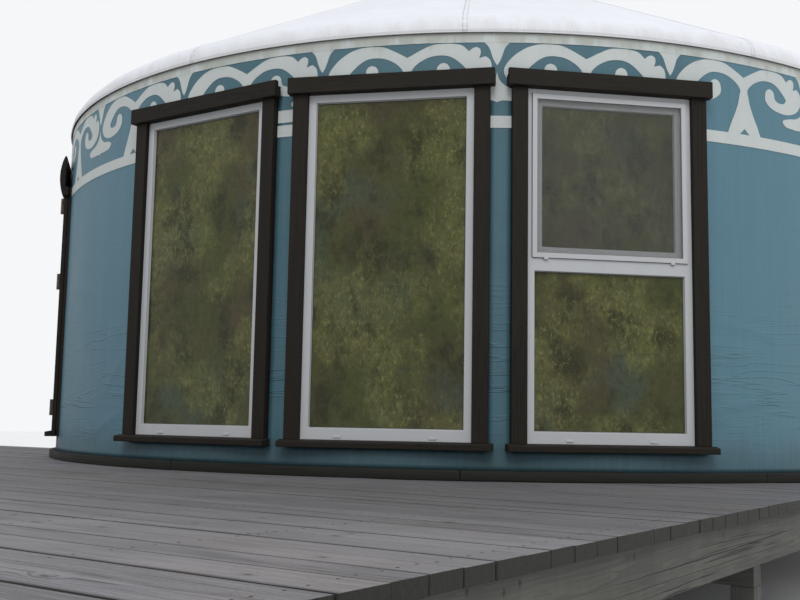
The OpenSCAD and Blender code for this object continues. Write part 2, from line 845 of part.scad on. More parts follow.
// Plan of a jamb with the stop that the leaf closes on; side is 1 or -1
module jamb(side)
  translate([0, 0, door_z]) linear_extrude(door_head_z - door_z)
    polygon([
      [side * half_door, -frame_plane], [side * half_jamb, -frame_plane],
      [side * half_jamb, -lining_back], [side * (half_door - stop_w), -lining_back],
      [side * (half_door - stop_w), -stop_y], [side * half_door, -stop_y]]);

module door_jambs() color(dark_wood)
  facing(door_az) {
    jamb(1);
    jamb(-1);
  }

module door_rails() color(dark_wood)
  facing(door_az) {
    block([-half_jamb, -frame_plane, lining_z], [half_jamb, -lining_back, door_z]);
    block([-half_jamb, -frame_plane, door_head_z],
          [half_jamb, -lining_back, door_head_z + lining_top]);
  }

module door_casings() color(dark_wood)
  facing(door_az) casing_pair(half_door, door_z + seat, door_head_z - seat);

// Section of the bellied board over the door: a flat foot, then a swell that dies at the top
belly_steps = 8;
// Where on the swell the board's foot lies, and how blunt the swell is
belly_start = 0.06;
belly_round = 0.8;
// Least thickness of the board past the casings
belly_foot = 6;
door_head_side = concat(
  [[frame_plane, door_head_z]],
  [for (i = [0 : belly_steps]) let (t = i / belly_steps)
    [casing_y + belly_foot
       + belly * pow(sin(180 * (belly_start + (1 - belly_start) * t)), belly_round),
     door_head_z + door_head_h * t]],
  [[wall_r + seat, door_head_z + door_head_h], [wall_r + seat, door_head_z + lining_top],
   [frame_plane, door_head_z + lining_top]]);

module door_head_board() color(dark_wood)
  facing(door_az) run(half_door_casing + trim_over, door_head_side);

module door_threshold() color(dark_wood)
  facing(door_az) run(half_door_casing + trim_over, sill_side);

// The leaf: a slab with three sunk fields on each face, and a raised panel in each field
module leaf_field(z0, z1)
  for (face = [[-casing_y - past, -casing_y + panel_sink],
               [-casing_y + leaf_t - panel_sink, -casing_y + leaf_t + past]])
    difference() {
      block([-leaf_l + stile_w, face[0], z0], [leaf_r - stile_w, face[1], z1]);
      block([-leaf_l + stile_w + field_w, -casing_y, z0 + field_w],
            [leaf_r - stile_w - field_w, -casing_y + leaf_t, z1 - field_w]);
    }

// Heights of the leaf's fields; the two lower ones are alike
foot_rail_z = leaf_z + foot_rail_h;
lock_rail_z = deck_top + handle_up - lock_rail_h / 2;
mid_rail_z = (foot_rail_z + lock_rail_z) / 2;

module door_leaf() color(dark_wood)
  facing(door_az)
    difference() {
      block([-leaf_l, -casing_y, leaf_z], [leaf_r, -casing_y + leaf_t, leaf_top]);
      leaf_field(foot_rail_z, mid_rail_z - mid_rail_h / 2);
      leaf_field(mid_rail_z + mid_rail_h / 2, lock_rail_z);
      leaf_field(lock_rail_z + lock_rail_h, leaf_top - stile_w);
    }

// Hinges: knuckles stand proud of the face, on the side towards the first window
third = hinge_l / 3;
hinge_z = [deck_top + hinge_low, deck_top + hinge_mid,
           door_head_z - hinge_drop - hinge_l / 2];

module door_hinge_posts() color(iron)
  facing(door_az)
    for (middle = hinge_z) translate([hinge_x, -hinge_y, middle]) {
      for (z = [-hinge_l / 2, third / 2]) {
        translate([0, 0, z]) cylinder(r = knuckle_r, h = third);
        block([0, knuckle_r - hinge_t, z], [hinge_w, knuckle_r, z + third]);
      }
      translate([0, 0, -hinge_l / 2]) cylinder(r = pin_r, h = hinge_l);
    }

module door_hinge_straps() color(iron)
  facing(door_az)
    for (middle = hinge_z) translate([hinge_x, -hinge_y, middle])
      difference() {
        union() {
          translate([0, 0, -third / 2 + pin_gap]) cylinder(r = knuckle_r, h = third - 2 * pin_gap);
          block([-hinge_w, knuckle_r - hinge_t, -third / 2 + pin_gap],
                [0, knuckle_r, third / 2 - pin_gap]);
        }
        translate([0, 0, -third]) cylinder(r = pin_r + pin_gap, h = 2 * third);
      }

// Lever handles on both faces, at the side away from the hinges
module lever() {
  rotate([90, 0, 0]) cylinder(r = rose_r, h = rose_t);
  rotate([90, 0, 0]) cylinder(r = lever_w / 2, h = lever_out);
  block([-lever_w / 2, -lever_out - lever_t / 2, -lever_w / 2],
        [lever_l, -lever_out + lever_t / 2, lever_w / 2]);
}

module door_handle() color(iron)
  facing(door_az) translate([-leaf_l + stile_w / 2, 0, deck_top + handle_up]) {
    translate([0, -casing_y, 0]) lever();
    translate([0, -casing_y + leaf_t, 0]) mirror([0, 1, 0]) lever();
  }

posts();
beams();
joists();
rim_boards();
terrace_deck();
platform_deck();
curb_ring();
floor();
wall_studs();
wall_window(0);  // wall_window_1
wall_window(1);  // wall_window_2
wall_window(2);  // wall_window_3
wall_at_door();
wall_by_door();
wall_back(0, 1);  // wall_right
wall_back(2, back_panels - 4);  // wall_rear
wall_back(back_panels - 3, back_panels - 1);  // wall_left
lattice_by_door();
lattice_back(0, 1);  // lattice_right
lattice_back(2, back_panels - 4);  // lattice_rear
lattice_back(back_panels - 3, back_panels - 1);  // lattice_left
eave_ring();
roof_poles();
crown_ring();
crown_bars();
roof_cover();
crown_cap();
window_linings();
window_casings();
window_head_boards();
window_sills();
fixed_frame(0);  // window_1_frame
fixed_frame(1);  // window_2_frame
window_3_frame();
window_glass();
window_3_sash();
window_3_screen();
door_jambs();
door_rails();
door_casings();
door_head_board();
door_threshold();
door_hinge_posts();
door_leaf();
door_hinge_straps();
door_handle();
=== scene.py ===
"""The yurt on its timber terrace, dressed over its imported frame.

The frame gives the timber, the windows and the door. This file lays single deck and floor
boards, hangs the wall's canvas and felt with their frieze, stretches the roof's canvas, and
gives every piece its finish.
"""

import contextlib
import random
from math import asin, atan2, cos, degrees, exp, hypot, pi, radians, sin

import bmesh
import bpy
from mathutils import Matrix, Vector, noise


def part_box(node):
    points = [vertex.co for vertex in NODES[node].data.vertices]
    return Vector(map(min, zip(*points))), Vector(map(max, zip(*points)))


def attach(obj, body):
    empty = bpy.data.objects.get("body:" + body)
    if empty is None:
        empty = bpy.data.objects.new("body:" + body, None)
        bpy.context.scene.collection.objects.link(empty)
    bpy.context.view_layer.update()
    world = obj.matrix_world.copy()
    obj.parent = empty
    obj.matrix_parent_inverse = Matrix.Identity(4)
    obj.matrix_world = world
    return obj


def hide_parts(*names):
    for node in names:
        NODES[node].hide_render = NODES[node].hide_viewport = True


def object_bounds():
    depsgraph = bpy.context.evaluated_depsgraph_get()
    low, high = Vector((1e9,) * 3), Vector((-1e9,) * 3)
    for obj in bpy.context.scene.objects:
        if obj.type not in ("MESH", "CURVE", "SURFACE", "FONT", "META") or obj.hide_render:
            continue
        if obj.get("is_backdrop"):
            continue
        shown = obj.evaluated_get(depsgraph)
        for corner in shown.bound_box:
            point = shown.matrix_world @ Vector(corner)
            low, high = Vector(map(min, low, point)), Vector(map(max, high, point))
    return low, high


bl_info = {
    "name": "Yurt on a terrace",
    "version": (1, 0, 0),
    "blender": (4, 5, 0),
    "location": "View3D > Sidebar > Yurt",
    "description": "Dresses the packed yurt with boards, canvas, frieze and finishes",
    "category": "Object",
}

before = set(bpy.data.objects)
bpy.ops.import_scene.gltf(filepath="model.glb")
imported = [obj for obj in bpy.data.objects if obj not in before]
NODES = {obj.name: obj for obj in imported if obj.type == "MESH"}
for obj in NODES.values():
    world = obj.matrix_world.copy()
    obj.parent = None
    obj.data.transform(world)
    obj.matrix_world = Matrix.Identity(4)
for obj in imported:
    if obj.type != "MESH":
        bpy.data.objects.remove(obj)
CAD_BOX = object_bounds()

# Sizes that the frame is built to, in metres; azimuths run from -Y
TURN = 2 * pi
WALL_R, WALL_T = 3.028, 0.060
CURB_TOP, EAVE_Z = 0.649, 2.830
FRAME_PLANE, CASING_Y = 3.008, 3.033
WINDOW_AZ = tuple(map(radians, (1.6, 22.8504, 44.1007)))
DOOR_AZ = radians(-41.5999)
HALF_FRAME, HALF_CUT, HALF_JAMB = 0.4315, 0.5061, 0.5243
CUT_FOOT, CUT_HEAD, DOOR_CUT_HEAD = 0.7407, 2.6033, 2.4033
PITCH, POLES, GORES = radians(28), 36, 12
SHOULDER, SHOULDER_R, LINING_R = (2.893, 2.830), 0.150, 0.110
CROWN_R, CROWN_EDGE = 0.720, 0.726
DECK_TOP, BOARD_T, FLOOR_TOP, JOIST_PITCH = 0.600, 0.042, 0.628, 0.600
DECK_FAR, DECK_END, DECK_FRONT, DECK_BACK = -4.400, 3.090, -6.050, -1.240
# Radius at which the finishes are laid out round the wall
PATTERN_R = 3.0


def srgb(*levels):
    """A colour written as 0 to 255, made linear."""
    shares = [level / 255 for level in levels]
    return tuple(s / 12.92 if s <= 0.04045 else ((s + 0.055) / 1.055) ** 2.4 for s in shares)


def length(name, description, default):
    return bpy.props.FloatProperty(
        name=name, description=description, default=default, unit="LENGTH", precision=4
    )


def colour(name, description, *levels):
    return bpy.props.FloatVectorProperty(
        name=name, description=description, default=srgb(*levels), subtype="COLOR", size=3, min=0.0, max=1.0
    )


class YurtSizes(bpy.types.PropertyGroup):
    """Sizes of what is laid over the frame."""

    board_pitch: length("Board pitch", "Distance between two neighbouring deck boards", 0.1233)
    board_gap: length("Board gap", "Widest usual gap between two deck boards", 0.005)
    floor_board: length("Floor board", "Width of an inner floor board", 0.136)
    canvas_t: length("Canvas", "Thickness of the coated canvas", 0.0018)
    felt_t: length("Felt", "Thickness of the felt lining", 0.004)
    cell: length("Canvas cell", "Side of a cell of the canvas at the front", 0.024)
    cell_back: length("Back cell", "Side of a cell of the canvas at the back", 0.060)
    slack: length("Slack", "How far the wall's canvas swells and sinks", 0.0030)
    scallop: length("Scallop", "How far the roof sinks between two poles", 0.007)
    border_h: length("Border", "Height of the pale border under the eave", 0.050)
    stripe_top: length("Stripe top", "Top of the stripe below the eave", 0.430)
    stripe_foot: length("Stripe foot", "Foot of the stripe below the eave", 0.492)
    motifs: bpy.props.IntProperty(
        name="Horn pairs", description="Pairs of horns round the wall", default=21, min=3
    )
    motif_az: bpy.props.FloatProperty(
        name="First pair",
        description="Azimuth of the pair over the second window",
        default=radians(24.53),
        subtype="ANGLE",
    )


class YurtColours(bpy.types.PropertyGroup):
    """Colours of the yurt's finishes."""

    teal: colour("Wall canvas", "Teal canvas of the wall", 76, 112, 126)
    pale: colour("Frieze", "Pale canvas of the frieze", 180, 186, 184)
    roof: colour("Roof canvas", "Near-white canvas of the roof", 222, 224, 230)
    felt: colour("Felt", "Felt lining seen from inside", 206, 198, 182)
    stain: colour("Dark timber", "Dark brown stained trim", 30, 26, 21)
    deck: colour("Deck boards", "Weathered deck boards", 112, 111, 113)
    rough: colour("Rough timber", "Posts, beams and rim boards", 86, 86, 81)
    pine: colour("Pale timber", "Oiled lattice, poles and studs", 176, 134, 86)
    crown: colour("Crown", "Red-brown crown ring and bars", 112, 58, 38)
    floor: colour("Floor", "Oiled floor boards inside", 158, 112, 70)
    vinyl: colour("Window frames", "Off-white window frames", 172, 174, 176)
    screen: colour("Screen", "Grey insect mesh", 96, 97, 92)
    iron: colour("Iron", "Hinges and handles", 66, 58, 52)


def counted(operation, swap=False):
    """A sign between a Wire and what stands beside it."""

    def sign(wire, *others):
        return wire.tree.math(operation, *((*others, wire) if swap else (wire, *others)))

    return sign


class Wire:
    """A node's output, which sums can be written with."""

    def __init__(self, tree, socket):
        self.tree, self.socket = tree, socket

    __add__ = counted("ADD")
    __sub__ = counted("SUBTRACT")
    __rsub__ = counted("SUBTRACT", swap=True)
    __mul__ = counted("MULTIPLY")
    __pow__ = counted("POWER")
    __abs__ = counted("ABSOLUTE")

    def spread(self, low, high, to_low=0.0, to_high=1.0, kind="LINEAR"):
        """Spreads what lies between low and high over another range, and clamps it."""
        given = dict(enumerate((self, low, high, to_low, to_high)))
        return self.tree.put("ShaderNodeMapRange", given, interpolation_type=kind)[0]

    def ease(self, *ranges):
        """A spread that starts and ends softly."""
        return self.spread(*ranges, kind="SMOOTHSTEP")


class Outputs:
    """A placed node's outputs as Wires, by name or number."""

    def __init__(self, tree, node):
        self.tree, self.node = tree, node

    def __getitem__(self, key):
        return Wire(self.tree, self.node.outputs[key])


class Tree:
    """Puts nodes into a tree and links them."""

    def __init__(self, tree):
        self.tree = tree

    def put(self, kind, inputs=None, **settings):
        node = self.tree.nodes.new(kind)
        for key, value in settings.items():
            setattr(node, key, value)
        self.feed(node, inputs or {})
        return Outputs(self, node)

    def feed(self, node, inputs):
        """Links a node's inputs to Wires, and sets the others to plain values."""
        for key, value in inputs.items():
            socket = node.inputs[key.replace("_", " ") if isinstance(key, str) else key]
            if isinstance(value, Wire):
                self.tree.links.new(value.socket, socket)
            else:
                socket.default_value = value

    def math(self, operation, *values):
        """Vector Math where a value is a vector, and plain Math otherwise."""
        kinds = {v.socket.type if isinstance(v, Wire) else type(v) for v in values}
        kind = "ShaderNodeVectorMath" if kinds & {"VECTOR", tuple} else "ShaderNodeMath"
        outputs = self.put(kind, dict(enumerate(values)), operation=operation)
        return outputs["Value" if operation in ("DOT_PRODUCT", "LENGTH") else 0]

    def scale(self, vector, by):
        return self.put("ShaderNodeVectorMath", {0: vector, "Scale": by}, operation="SCALE")[0]

    def mix(self, share, first, second, blend="MIX"):
        given = {0: share, 6: first, 7: second}
        return self.put("ShaderNodeMix", given, data_type="RGBA", blend_type=blend)[2]

    def noise(self, vector, scale, detail=4.0, rough=0.5, distortion=0.0):
        given = {"Vector": vector, "Scale": scale, "Detail": detail}
        given.update(Roughness=rough, Distortion=distortion)
        return self.put("ShaderNodeTexNoise", given)[0]

    def split(self, vector):
        return self.put("ShaderNodeSeparateXYZ", {0: vector})

    def join(self, *parts):
        return self.put("ShaderNodeCombineXYZ", dict(enumerate(parts)))[0]

    def attribute(self, name):
        return self.put("ShaderNodeAttribute", attribute_name=name)["Fac"]

    def hand_out(self, **results):
        """Makes a group's outputs and links them."""
        for label in results:
            self.tree.interface.new_socket(label, in_out="OUTPUT", socket_type="NodeSocketFloat")
        self.put("NodeGroupOutput", results)
        return self.tree


def new_group(name, **inputs):
    """A shader node group that takes a vector and these inputs: its tree and what it is given."""
    tree = bpy.data.node_groups.new(name, "ShaderNodeTree")
    for label, default in {"Vector": None, **inputs}.items():
        kind = "NodeSocketVector" if default is None else "NodeSocketFloat"
        socket = tree.interface.new_socket(label.replace("_", " "), in_out="INPUT", socket_type=kind)
        if default is not None:
            socket.default_value = default
    t = Tree(tree)
    return t, t.put("NodeGroupInput")


def timber_grain():
    """Figure, fibre and checks of timber; the grain runs along the vector's X."""
    t, given = new_group("timber_grain", Figure_Scale=1.0)
    size = t.scale(given["Vector"], given["Figure Scale"])
    bend = t.noise(size * (0.9, 2.0, 2.0), 1.0, 2.0)
    rings = t.noise(size * (0.35, 11.0, 11.0) + t.join(0.0, bend, bend), 2.0, 3.0, 0.55, 0.4)
    lines = t.noise(size * (0.8, 42.0, 42.0), 1.0, 2.0, 0.5, 0.2)
    where = t.noise(size * (1.2, 6.0, 6.0), 1.0, 1.0)
    return t.hand_out(
        Figure=t.math("FRACT", rings * 7.0).spread(0.0, 1.0),
        Fibre=t.noise(size * (5.0, 260.0, 260.0), 1.0, 3.0, 0.6),
        Check=abs(lines - 0.5).spread(0.0, 0.016, 1.0, 0.0) * where.spread(0.52, 0.6),
    )


def weathering():
    """Broad mottling, rain streaks that run down, and small specks."""
    t, given = new_group("weathering")
    place = given["Vector"]
    return t.hand_out(
        Mottle=t.noise(place, 1.7, 5.0, 0.55),
        Streak=t.noise(place * (9.0, 9.0, 0.7), 1.0, 4.0, 0.6),
        Speck=t.noise(place, 95.0, 2.0, 0.5).spread(0.66, 0.76),
    )


def round_place():
    """Object coordinates taken round the yurt's axis: along the wall, out and up."""
    t, given = new_group("round_place")
    x, y, z = t.split(given["Vector"])
    reach = t.math("LENGTH", t.join(x, y, 0.0))
    return t.hand_out(Along=t.math("ARCTAN2", x, y * -1.0) * PATTERN_R, Out=reach, Up=z)


def flank_place():
    """Object coordinates along the upright face that a point lies on, and up."""
    t, given = new_group("flank_place", Normal=None)
    place, normal = given["Vector"], given["Normal"]
    side = t.math("CROSS_PRODUCT", normal, (0.0, 0.0, 1.0))
    outward = t.math("DOT_PRODUCT", place, normal)
    return t.hand_out(Along=t.math("DOT_PRODUCT", place, side), Out=outward, Up=t.split(place)[2])


def plain_weave():
    """Threads of a plain weave; the vector is in metres along the cloth."""
    t, given = new_group("plain_weave", Threads=700.0)
    u, v, _ = t.split(given["Vector"])

    def thread(across, along, lead):
        turn, cross = across * given["Threads"], along * given["Threads"] + lead
        return abs(t.math("SINE", turn)) * t.math("SINE", cross)

    height = t.math("MAXIMUM", thread(u, v, 0.0), thread(v, u, pi / 2))
    return t.hand_out(Thread=height, Slub=t.noise(given["Vector"] * (14.0, 320.0, 1.0), 1.0, 2.0))


class Coat(Tree):
    """A material in the making: its shader, where a point lies, and its colour and height so far."""

    def __init__(self, finishes, **plain):
        self.material = bpy.data.materials.new("finish")
        self.material.use_nodes = True
        super().__init__(self.material.node_tree)
        self.colours, self.groups, self.height = finishes.colours, finishes.groups, None
        self.shader = self.tree.nodes["Principled BSDF"]
        self.feed(self.shader, plain)
        corner = self.put("ShaderNodeTexCoord")
        self.place, self.normal = corner["Object"], corner["Normal"]

    def use(self, name, **inputs):
        """One of the shared groups, at the point's place unless told otherwise."""
        return self.put("ShaderNodeGroup", {"Vector": self.place, **inputs}, node_tree=self.groups[name])

    def tint(self, colour, level=1.0):
        """A colour from its levels, or the scene's by its name, at a share of its light."""
        if isinstance(colour, Wire):
            return colour
        plain = getattr(self.colours, colour) if isinstance(colour, str) else srgb(*colour)
        return (*(part * level for part in plain), 1.0)

    def blend(self, share, first, second, low=1.0, high=1.0):
        return self.mix(share, self.tint(first, low), self.tint(second, high))

    def mottle(self, share, colour, low, high):
        """Starts with a colour between two levels of its own light."""
        self.shade = self.blend(share, colour, colour, low, high)

    def over(self, share, colour, level=1.0):
        """Lays a colour over the one so far, as much as the share says."""
        self.shade = self.mix(share, self.shade, self.tint(colour, level))

    def filter(self, colour):
        self.shade = self.mix(1.0, self.shade, colour, "MULTIPLY")

    def close(self, rough, height, depth):
        """Keeps the roughness, and the height of a bump in metres, for the end."""
        self.rough, self.height, self.depth = rough, height, depth
        return self

    def finished(self, name):
        """The named material, with colour, roughness and bump linked to its shader."""
        self.feed(self.shader, {"Base Color": self.shade})
        if self.height:
            bump = self.put("ShaderNodeBump", {"Height": self.height, "Distance": self.depth})
            self.feed(self.shader, {"Roughness": self.rough, "Normal": bump[0]})
        self.material.name = name
        return self.material


class Finishes:
    """Builds each finish once, from the shared groups and the scene's colours."""

    # Timbers: colour, axes from the grain's on (along, out and up round the yurt, or plain
    # ones), roughness, age and the shader's specular level
    TIMBERS = {
        "stained_upright": ("stain", "UAO", 0.58, 0.25, 0.16),
        "stained_level": ("stain", "AUO", 0.58, 0.25, 0.16),
        "rough_post": ("rough", "ZXY", 0.7, 1.0, 0.4),
        "rough_beam": ("rough", "XYZ", 0.7, 1.0, 0.4),
        "rough_joist": ("rough", "YXZ", 0.7, 1.0, 0.4),
        "pine_upright": ("pine", "UAO", 0.45, 0.1, 0.22),
        "pine_level": ("pine", "AUO", 0.45, 0.1, 0.22),
        "pine_pole": ("pine", "OAU", 0.45, 0.1, 0.22),
        "crown_wood": ("crown", "AUO", 0.4, 0.15, 0.22),
        "stained_curb": ((30, 30, 26), "AUO", 0.65, 0.6, 0.22),
    }
    # Small parts: specular level, scale and detail of their grain, its two colours, roughness
    # and depth
    SPECKLED = {
        "rubber": (0.3, (500.0, 2.0), (22, 22, 21), (38, 38, 36), 0.6, 0.0001),
        "linen_thread": (0.2, (900.0, 2.0), (150, 150, 142), (190, 190, 180), 0.8, 0.0002),
        "hide_tie": (0.35, (300.0, 3.0, 0.6), (84, 54, 34), (120, 82, 52), 0.6, 0.0002),
    }
    # Knots and nail stains of the rim board at the sawn ends: distance towards -Y, and height
    STAINS = ((4.98, 0.523), (4.91, 0.535), (4.27, 0.531), (5.13, 0.544), (3.52, 0.526))
    # Cells of the deck's knots to the metre, along and across a board
    KNOT_CELLS = (2.1, 7.0)

    def __init__(self, colours):
        self.colours, self.made = colours, {}
        makers = (timber_grain, weathering, round_place, flank_place, plain_weave)
        self.groups = {make.__name__: make() for make in makers}

    def __getitem__(self, name):
        if name not in self.made:
            if name in self.TIMBERS:
                coat = self.axis_timber(*self.TIMBERS[name])
            elif name in self.SPECKLED:
                coat = self.speckled(*self.SPECKLED[name])
            else:
                coat = getattr(self, name)()
            self.made[name] = coat.finished(name)
        return self.made[name]

    def start(self, specular=0.5, **plain):
        return Coat(self, Specular_IOR_Level=specular, **plain)

    def canvas(self, colour, soil_and_shade, soil_and_shade_z):
        """Coated canvas: weave, faint mottling and streaks, darker towards one height: soil at the wall's
        foot, painted shade under the eave on the frieze, darker towards the hem on the roof.
        """
        coat = self.start(0.35)
        mottle, streak, speck = coat.use("weathering")
        weave = coat.use("plain_weave", Vector=coat.put("ShaderNodeUVMap", uv_map="cloth")[0])
        coat.mottle(mottle, colour, 0.86, 1.12)
        coat.over(streak.spread(0.35, 0.75, 0.0, 0.35), colour, 0.80)
        coat.over(weave["Slub"].spread(0.3, 0.7, 0.0, 0.22), colour, 1.15)
        ragged = coat.split(coat.place)[2] + streak.spread(0.2, 0.8, -0.08, 0.08)
        # Darker towards one height: soil on the wall, painted shade under the eave on the frieze
        coat.over(ragged.ease(*soil_and_shade_z, 0.0, 1.0) * 0.65, soil_and_shade)
        coat.over(speck * 0.25, soil_and_shade, 0.7)
        return coat.close(mottle.spread(0.2, 0.8, 0.46, 0.62), weave["Thread"] * 0.5 + mottle, 0.0004)

    def wall_canvas(self):
        """Teal canvas: darkened between the windows as painted shade, puckered and creased at its foot."""
        coat = self.canvas("teal", (62, 84, 90), (0.86, 0.66))
        along, _, up = coat.use("round_place")
        first, last = PATTERN_R * WINDOW_AZ[0], PATTERN_R * WINDOW_AZ[2]
        half = 0.5 * (last - first)
        off = abs(along - 0.5 * (first + last))
        # Painted shade: the stretch of canvas between the windows is darkened
        coat.over(off.ease(half + 0.30, half + 0.62, 0.34, 0.0), (26, 50, 46))

        def drawn_out(x, y, shift, *shape):
            return coat.noise(coat.join(along * x, up * y, shift), 1.0, *shape)

        folds = drawn_out(30.0, 2.5, 0.0, 2.0) * up.ease(0.70, 1.05, 1.0, 0.0) * 5.0
        line = abs(drawn_out(1.3, 15.0, 0.0, 3.0, 0.5, 0.3) - 0.5)
        held = up.spread(0.72, 0.80) * up.spread(1.1, 1.6, 1.0, 0.15)
        held = drawn_out(1.9, 4.0, 3.0, 2.0).spread(0.40, 0.58) * held
        coat.height += folds + line.ease(0.0, 0.040, 1.0, 0.0) * held * 5.5
        # A darker line along each crease: partly grime, partly painted shade under the crease
        coat.over(line.ease(0.0, 0.022, 1.0, 0.0) * held * 0.16, (34, 52, 54))
        faded = drawn_out(46.0, 1.1, 5.0, 3.0, 0.6)
        coat.over(faded.spread(0.45, 0.75, 0.0, 0.16), "teal", 1.25)
        coat.over(faded.spread(0.25, 0.5, 0.12, 0.0), "teal", 0.70)
        return coat

    def frieze_canvas(self):
        # Painted shade: the pale canvas darkens towards the eave, as the shade under the roof's edge
        return self.canvas("pale", (150, 152, 142), (2.76, 2.83))

    def roof_canvas(self):
        # Darker over the shoulder towards the hem
        return self.canvas("roof", (196, 196, 196), (2.95, 2.83))

    def felt_lining(self):
        coat = self.start(0.2, Sheen_Weight=0.15)
        fuzz = coat.noise(coat.place, 420.0, 3.0, 0.6, 0.6)
        coat.mottle(coat.use("weathering")["Mottle"], "felt", 0.84, 1.08)
        coat.over(fuzz.spread(0.3, 0.7, 0.0, 0.3), "felt", 0.7)
        return coat.close(0.95, fuzz, 0.0008)

    def timber(self, coat, colour, vector, rough, age, figure=1.0, tone=None):
        """Planed or weathered timber; age from 0, planed, to 1, weathered."""
        rings, fibre, check = coat.use("timber_grain", Vector=vector, Figure_Scale=figure)
        coat.mottle(rings, colour, 0.86 - 0.10 * age, 1.10)
        coat.over(fibre.spread(0.35, 0.7, 0.0, 0.30 + 0.2 * age), colour, 0.62)
        mottle = coat.use("weathering")["Mottle"]
        coat.over(mottle.spread(0.42, 0.7, 0.0, 0.22 + 0.2 * age), colour, 1.22)
        if tone:
            coat.filter(coat.join(tone, tone, tone))
        coat.over(check * (0.35 + 0.5 * age), colour, 0.22)
        height = rings * 0.25 + fibre - check * 2.5
        return coat.close(fibre.spread(0.2, 0.8, rough, rough + 0.18), height, 0.0003 + 0.0009 * age)

    def axis_timber(self, colour, axes, rough, age, specular, figure=1.0, flank=False):
        """Timber whose grain runs along the first of its axes."""
        coat = self.start(specular)
        if flank:
            parts = coat.use("flank_place", Normal=coat.normal)
        else:
            parts = coat.use("round_place") if "U" in axes else coat.split(coat.place)
        names = "AOU" if "U" in axes else "XYZ"
        vector = coat.join(*(parts[names.index(axis)] for axis in axes))
        return self.timber(coat, colour, vector, rough, age, figure)

    def rough_rim(self):
        """Rim boards; the one at the sawn ends has a long crack, a split and stains."""
        coat = self.axis_timber("rough", "AUO", 0.7, 1.0, 0.22, 0.8, flank=True)
        along, out, up = coat.use("flank_place", Normal=coat.normal)
        wobble = (coat.noise(coat.place, 7.0, 5.0, 0.6) - 0.5) * 0.006
        level = (4.4 - along) ** 2.0 * 0.0043 + 0.471 + wobble
        run = along.spread(2.62, 2.8) * along.spread(3.9, 4.7, 1.0, 0.0)
        dark = abs(up - level).spread(0.0008, 0.0024, 1.0, 0.0) * run
        apart = along.spread(3.05, 3.4) * along.spread(3.6, 4.0, 1.0, 0.0)
        second = level + (apart * 0.009 - wobble)
        marks = [abs(up - second).spread(0.0006, 0.0020, 0.8, 0.0) * apart]
        rise = abs(up - 0.524).spread(0.014, 0.018, 1.0, 0.0)
        marks.append(abs(along + wobble - 2.88).spread(0.0008, 0.003, 1.0, 0.0) * rise)
        for distance, height in self.STAINS:
            spot = abs(along + wobble - distance) + abs(up - height) * 0.6
            marks.append(spot.spread(0.002, 0.010, 0.75, 0.0))
        for mark in marks:
            dark = coat.math("MAXIMUM", dark, mark)
        dark *= coat.math("LESS_THAN", abs(out - 3.06), 0.1)
        streak = coat.noise(coat.join(along * 11.0, up * 2.4, out), 1.0, 5.0, 0.7, 0.6)
        coat.over(streak.spread(0.42, 0.72, 0.0, 0.26), "rough", 0.45)
        coat.over(dark, "rough", 0.12)
        return coat

    def boards(self, colour, axes, rough, age, tones, knots=False):
        """Boards with a tone of their own each."""
        coat = self.start(0.35)
        tone = coat.attribute("tone")
        parts, lead = coat.split(coat.place), tone * 37.0
        along, across, depth = (parts["XYZ".index(axis)] for axis in axes)
        if knots:
            across += self.knot(coat)[0].ease(0.0, 0.05, 0.05, 0.0)
        vector = coat.join(along + lead, across, depth + lead)
        return self.timber(coat, colour, vector, rough, age, tone=tone.spread(0.0, 1.0, *tones))

    def knot(self, coat):
        """Distance in metres from the nearest knot of a board along X, and its lot."""
        x, y, _ = coat.split(coat.place)
        u = x * self.KNOT_CELLS[0] + coat.attribute("tone") * 19.0
        v = y * self.KNOT_CELLS[1]
        given = {"Vector": coat.join(u, v, 0.0), "Scale": 1.0}
        cells = coat.put("ShaderNodeTexVoronoi", given, voronoi_dimensions="2D")
        middle, lot = coat.split(cells["Position"]), coat.split(cells["Color"])
        off_x = (u - middle[0]) * (0.6 / self.KNOT_CELLS[0])
        off_y = (v - middle[1]) * (1.0 / self.KNOT_CELLS[1])
        off = coat.math("LENGTH", coat.join(off_x, off_y, 0.0)) * lot[1].spread(0.0, 1.0, 1.7, 0.8)
        return off + lot[0].spread(0.42, 0.44, 0.0, 1.0), lot[2]

    def deck_boards(self):
        """Weathered boards: knots, damp, rain streaks, dirt along open joints, dark sawn ends, painted
        shade on the flanks in the gaps, and painted light and shade by where a board lies round the yurt.
        """
        end = (30, 31, 24)
        coat = self.boards("deck", "XYZ", 0.62, 0.8, (0.88, 1.10), knots=True)
        x, y, _ = coat.split(coat.place)

        def drawn_out(stretch, *shape):
            return coat.noise(coat.place * stretch, *shape)

        reach = coat.math("LENGTH", coat.join(x, y, 0.0))
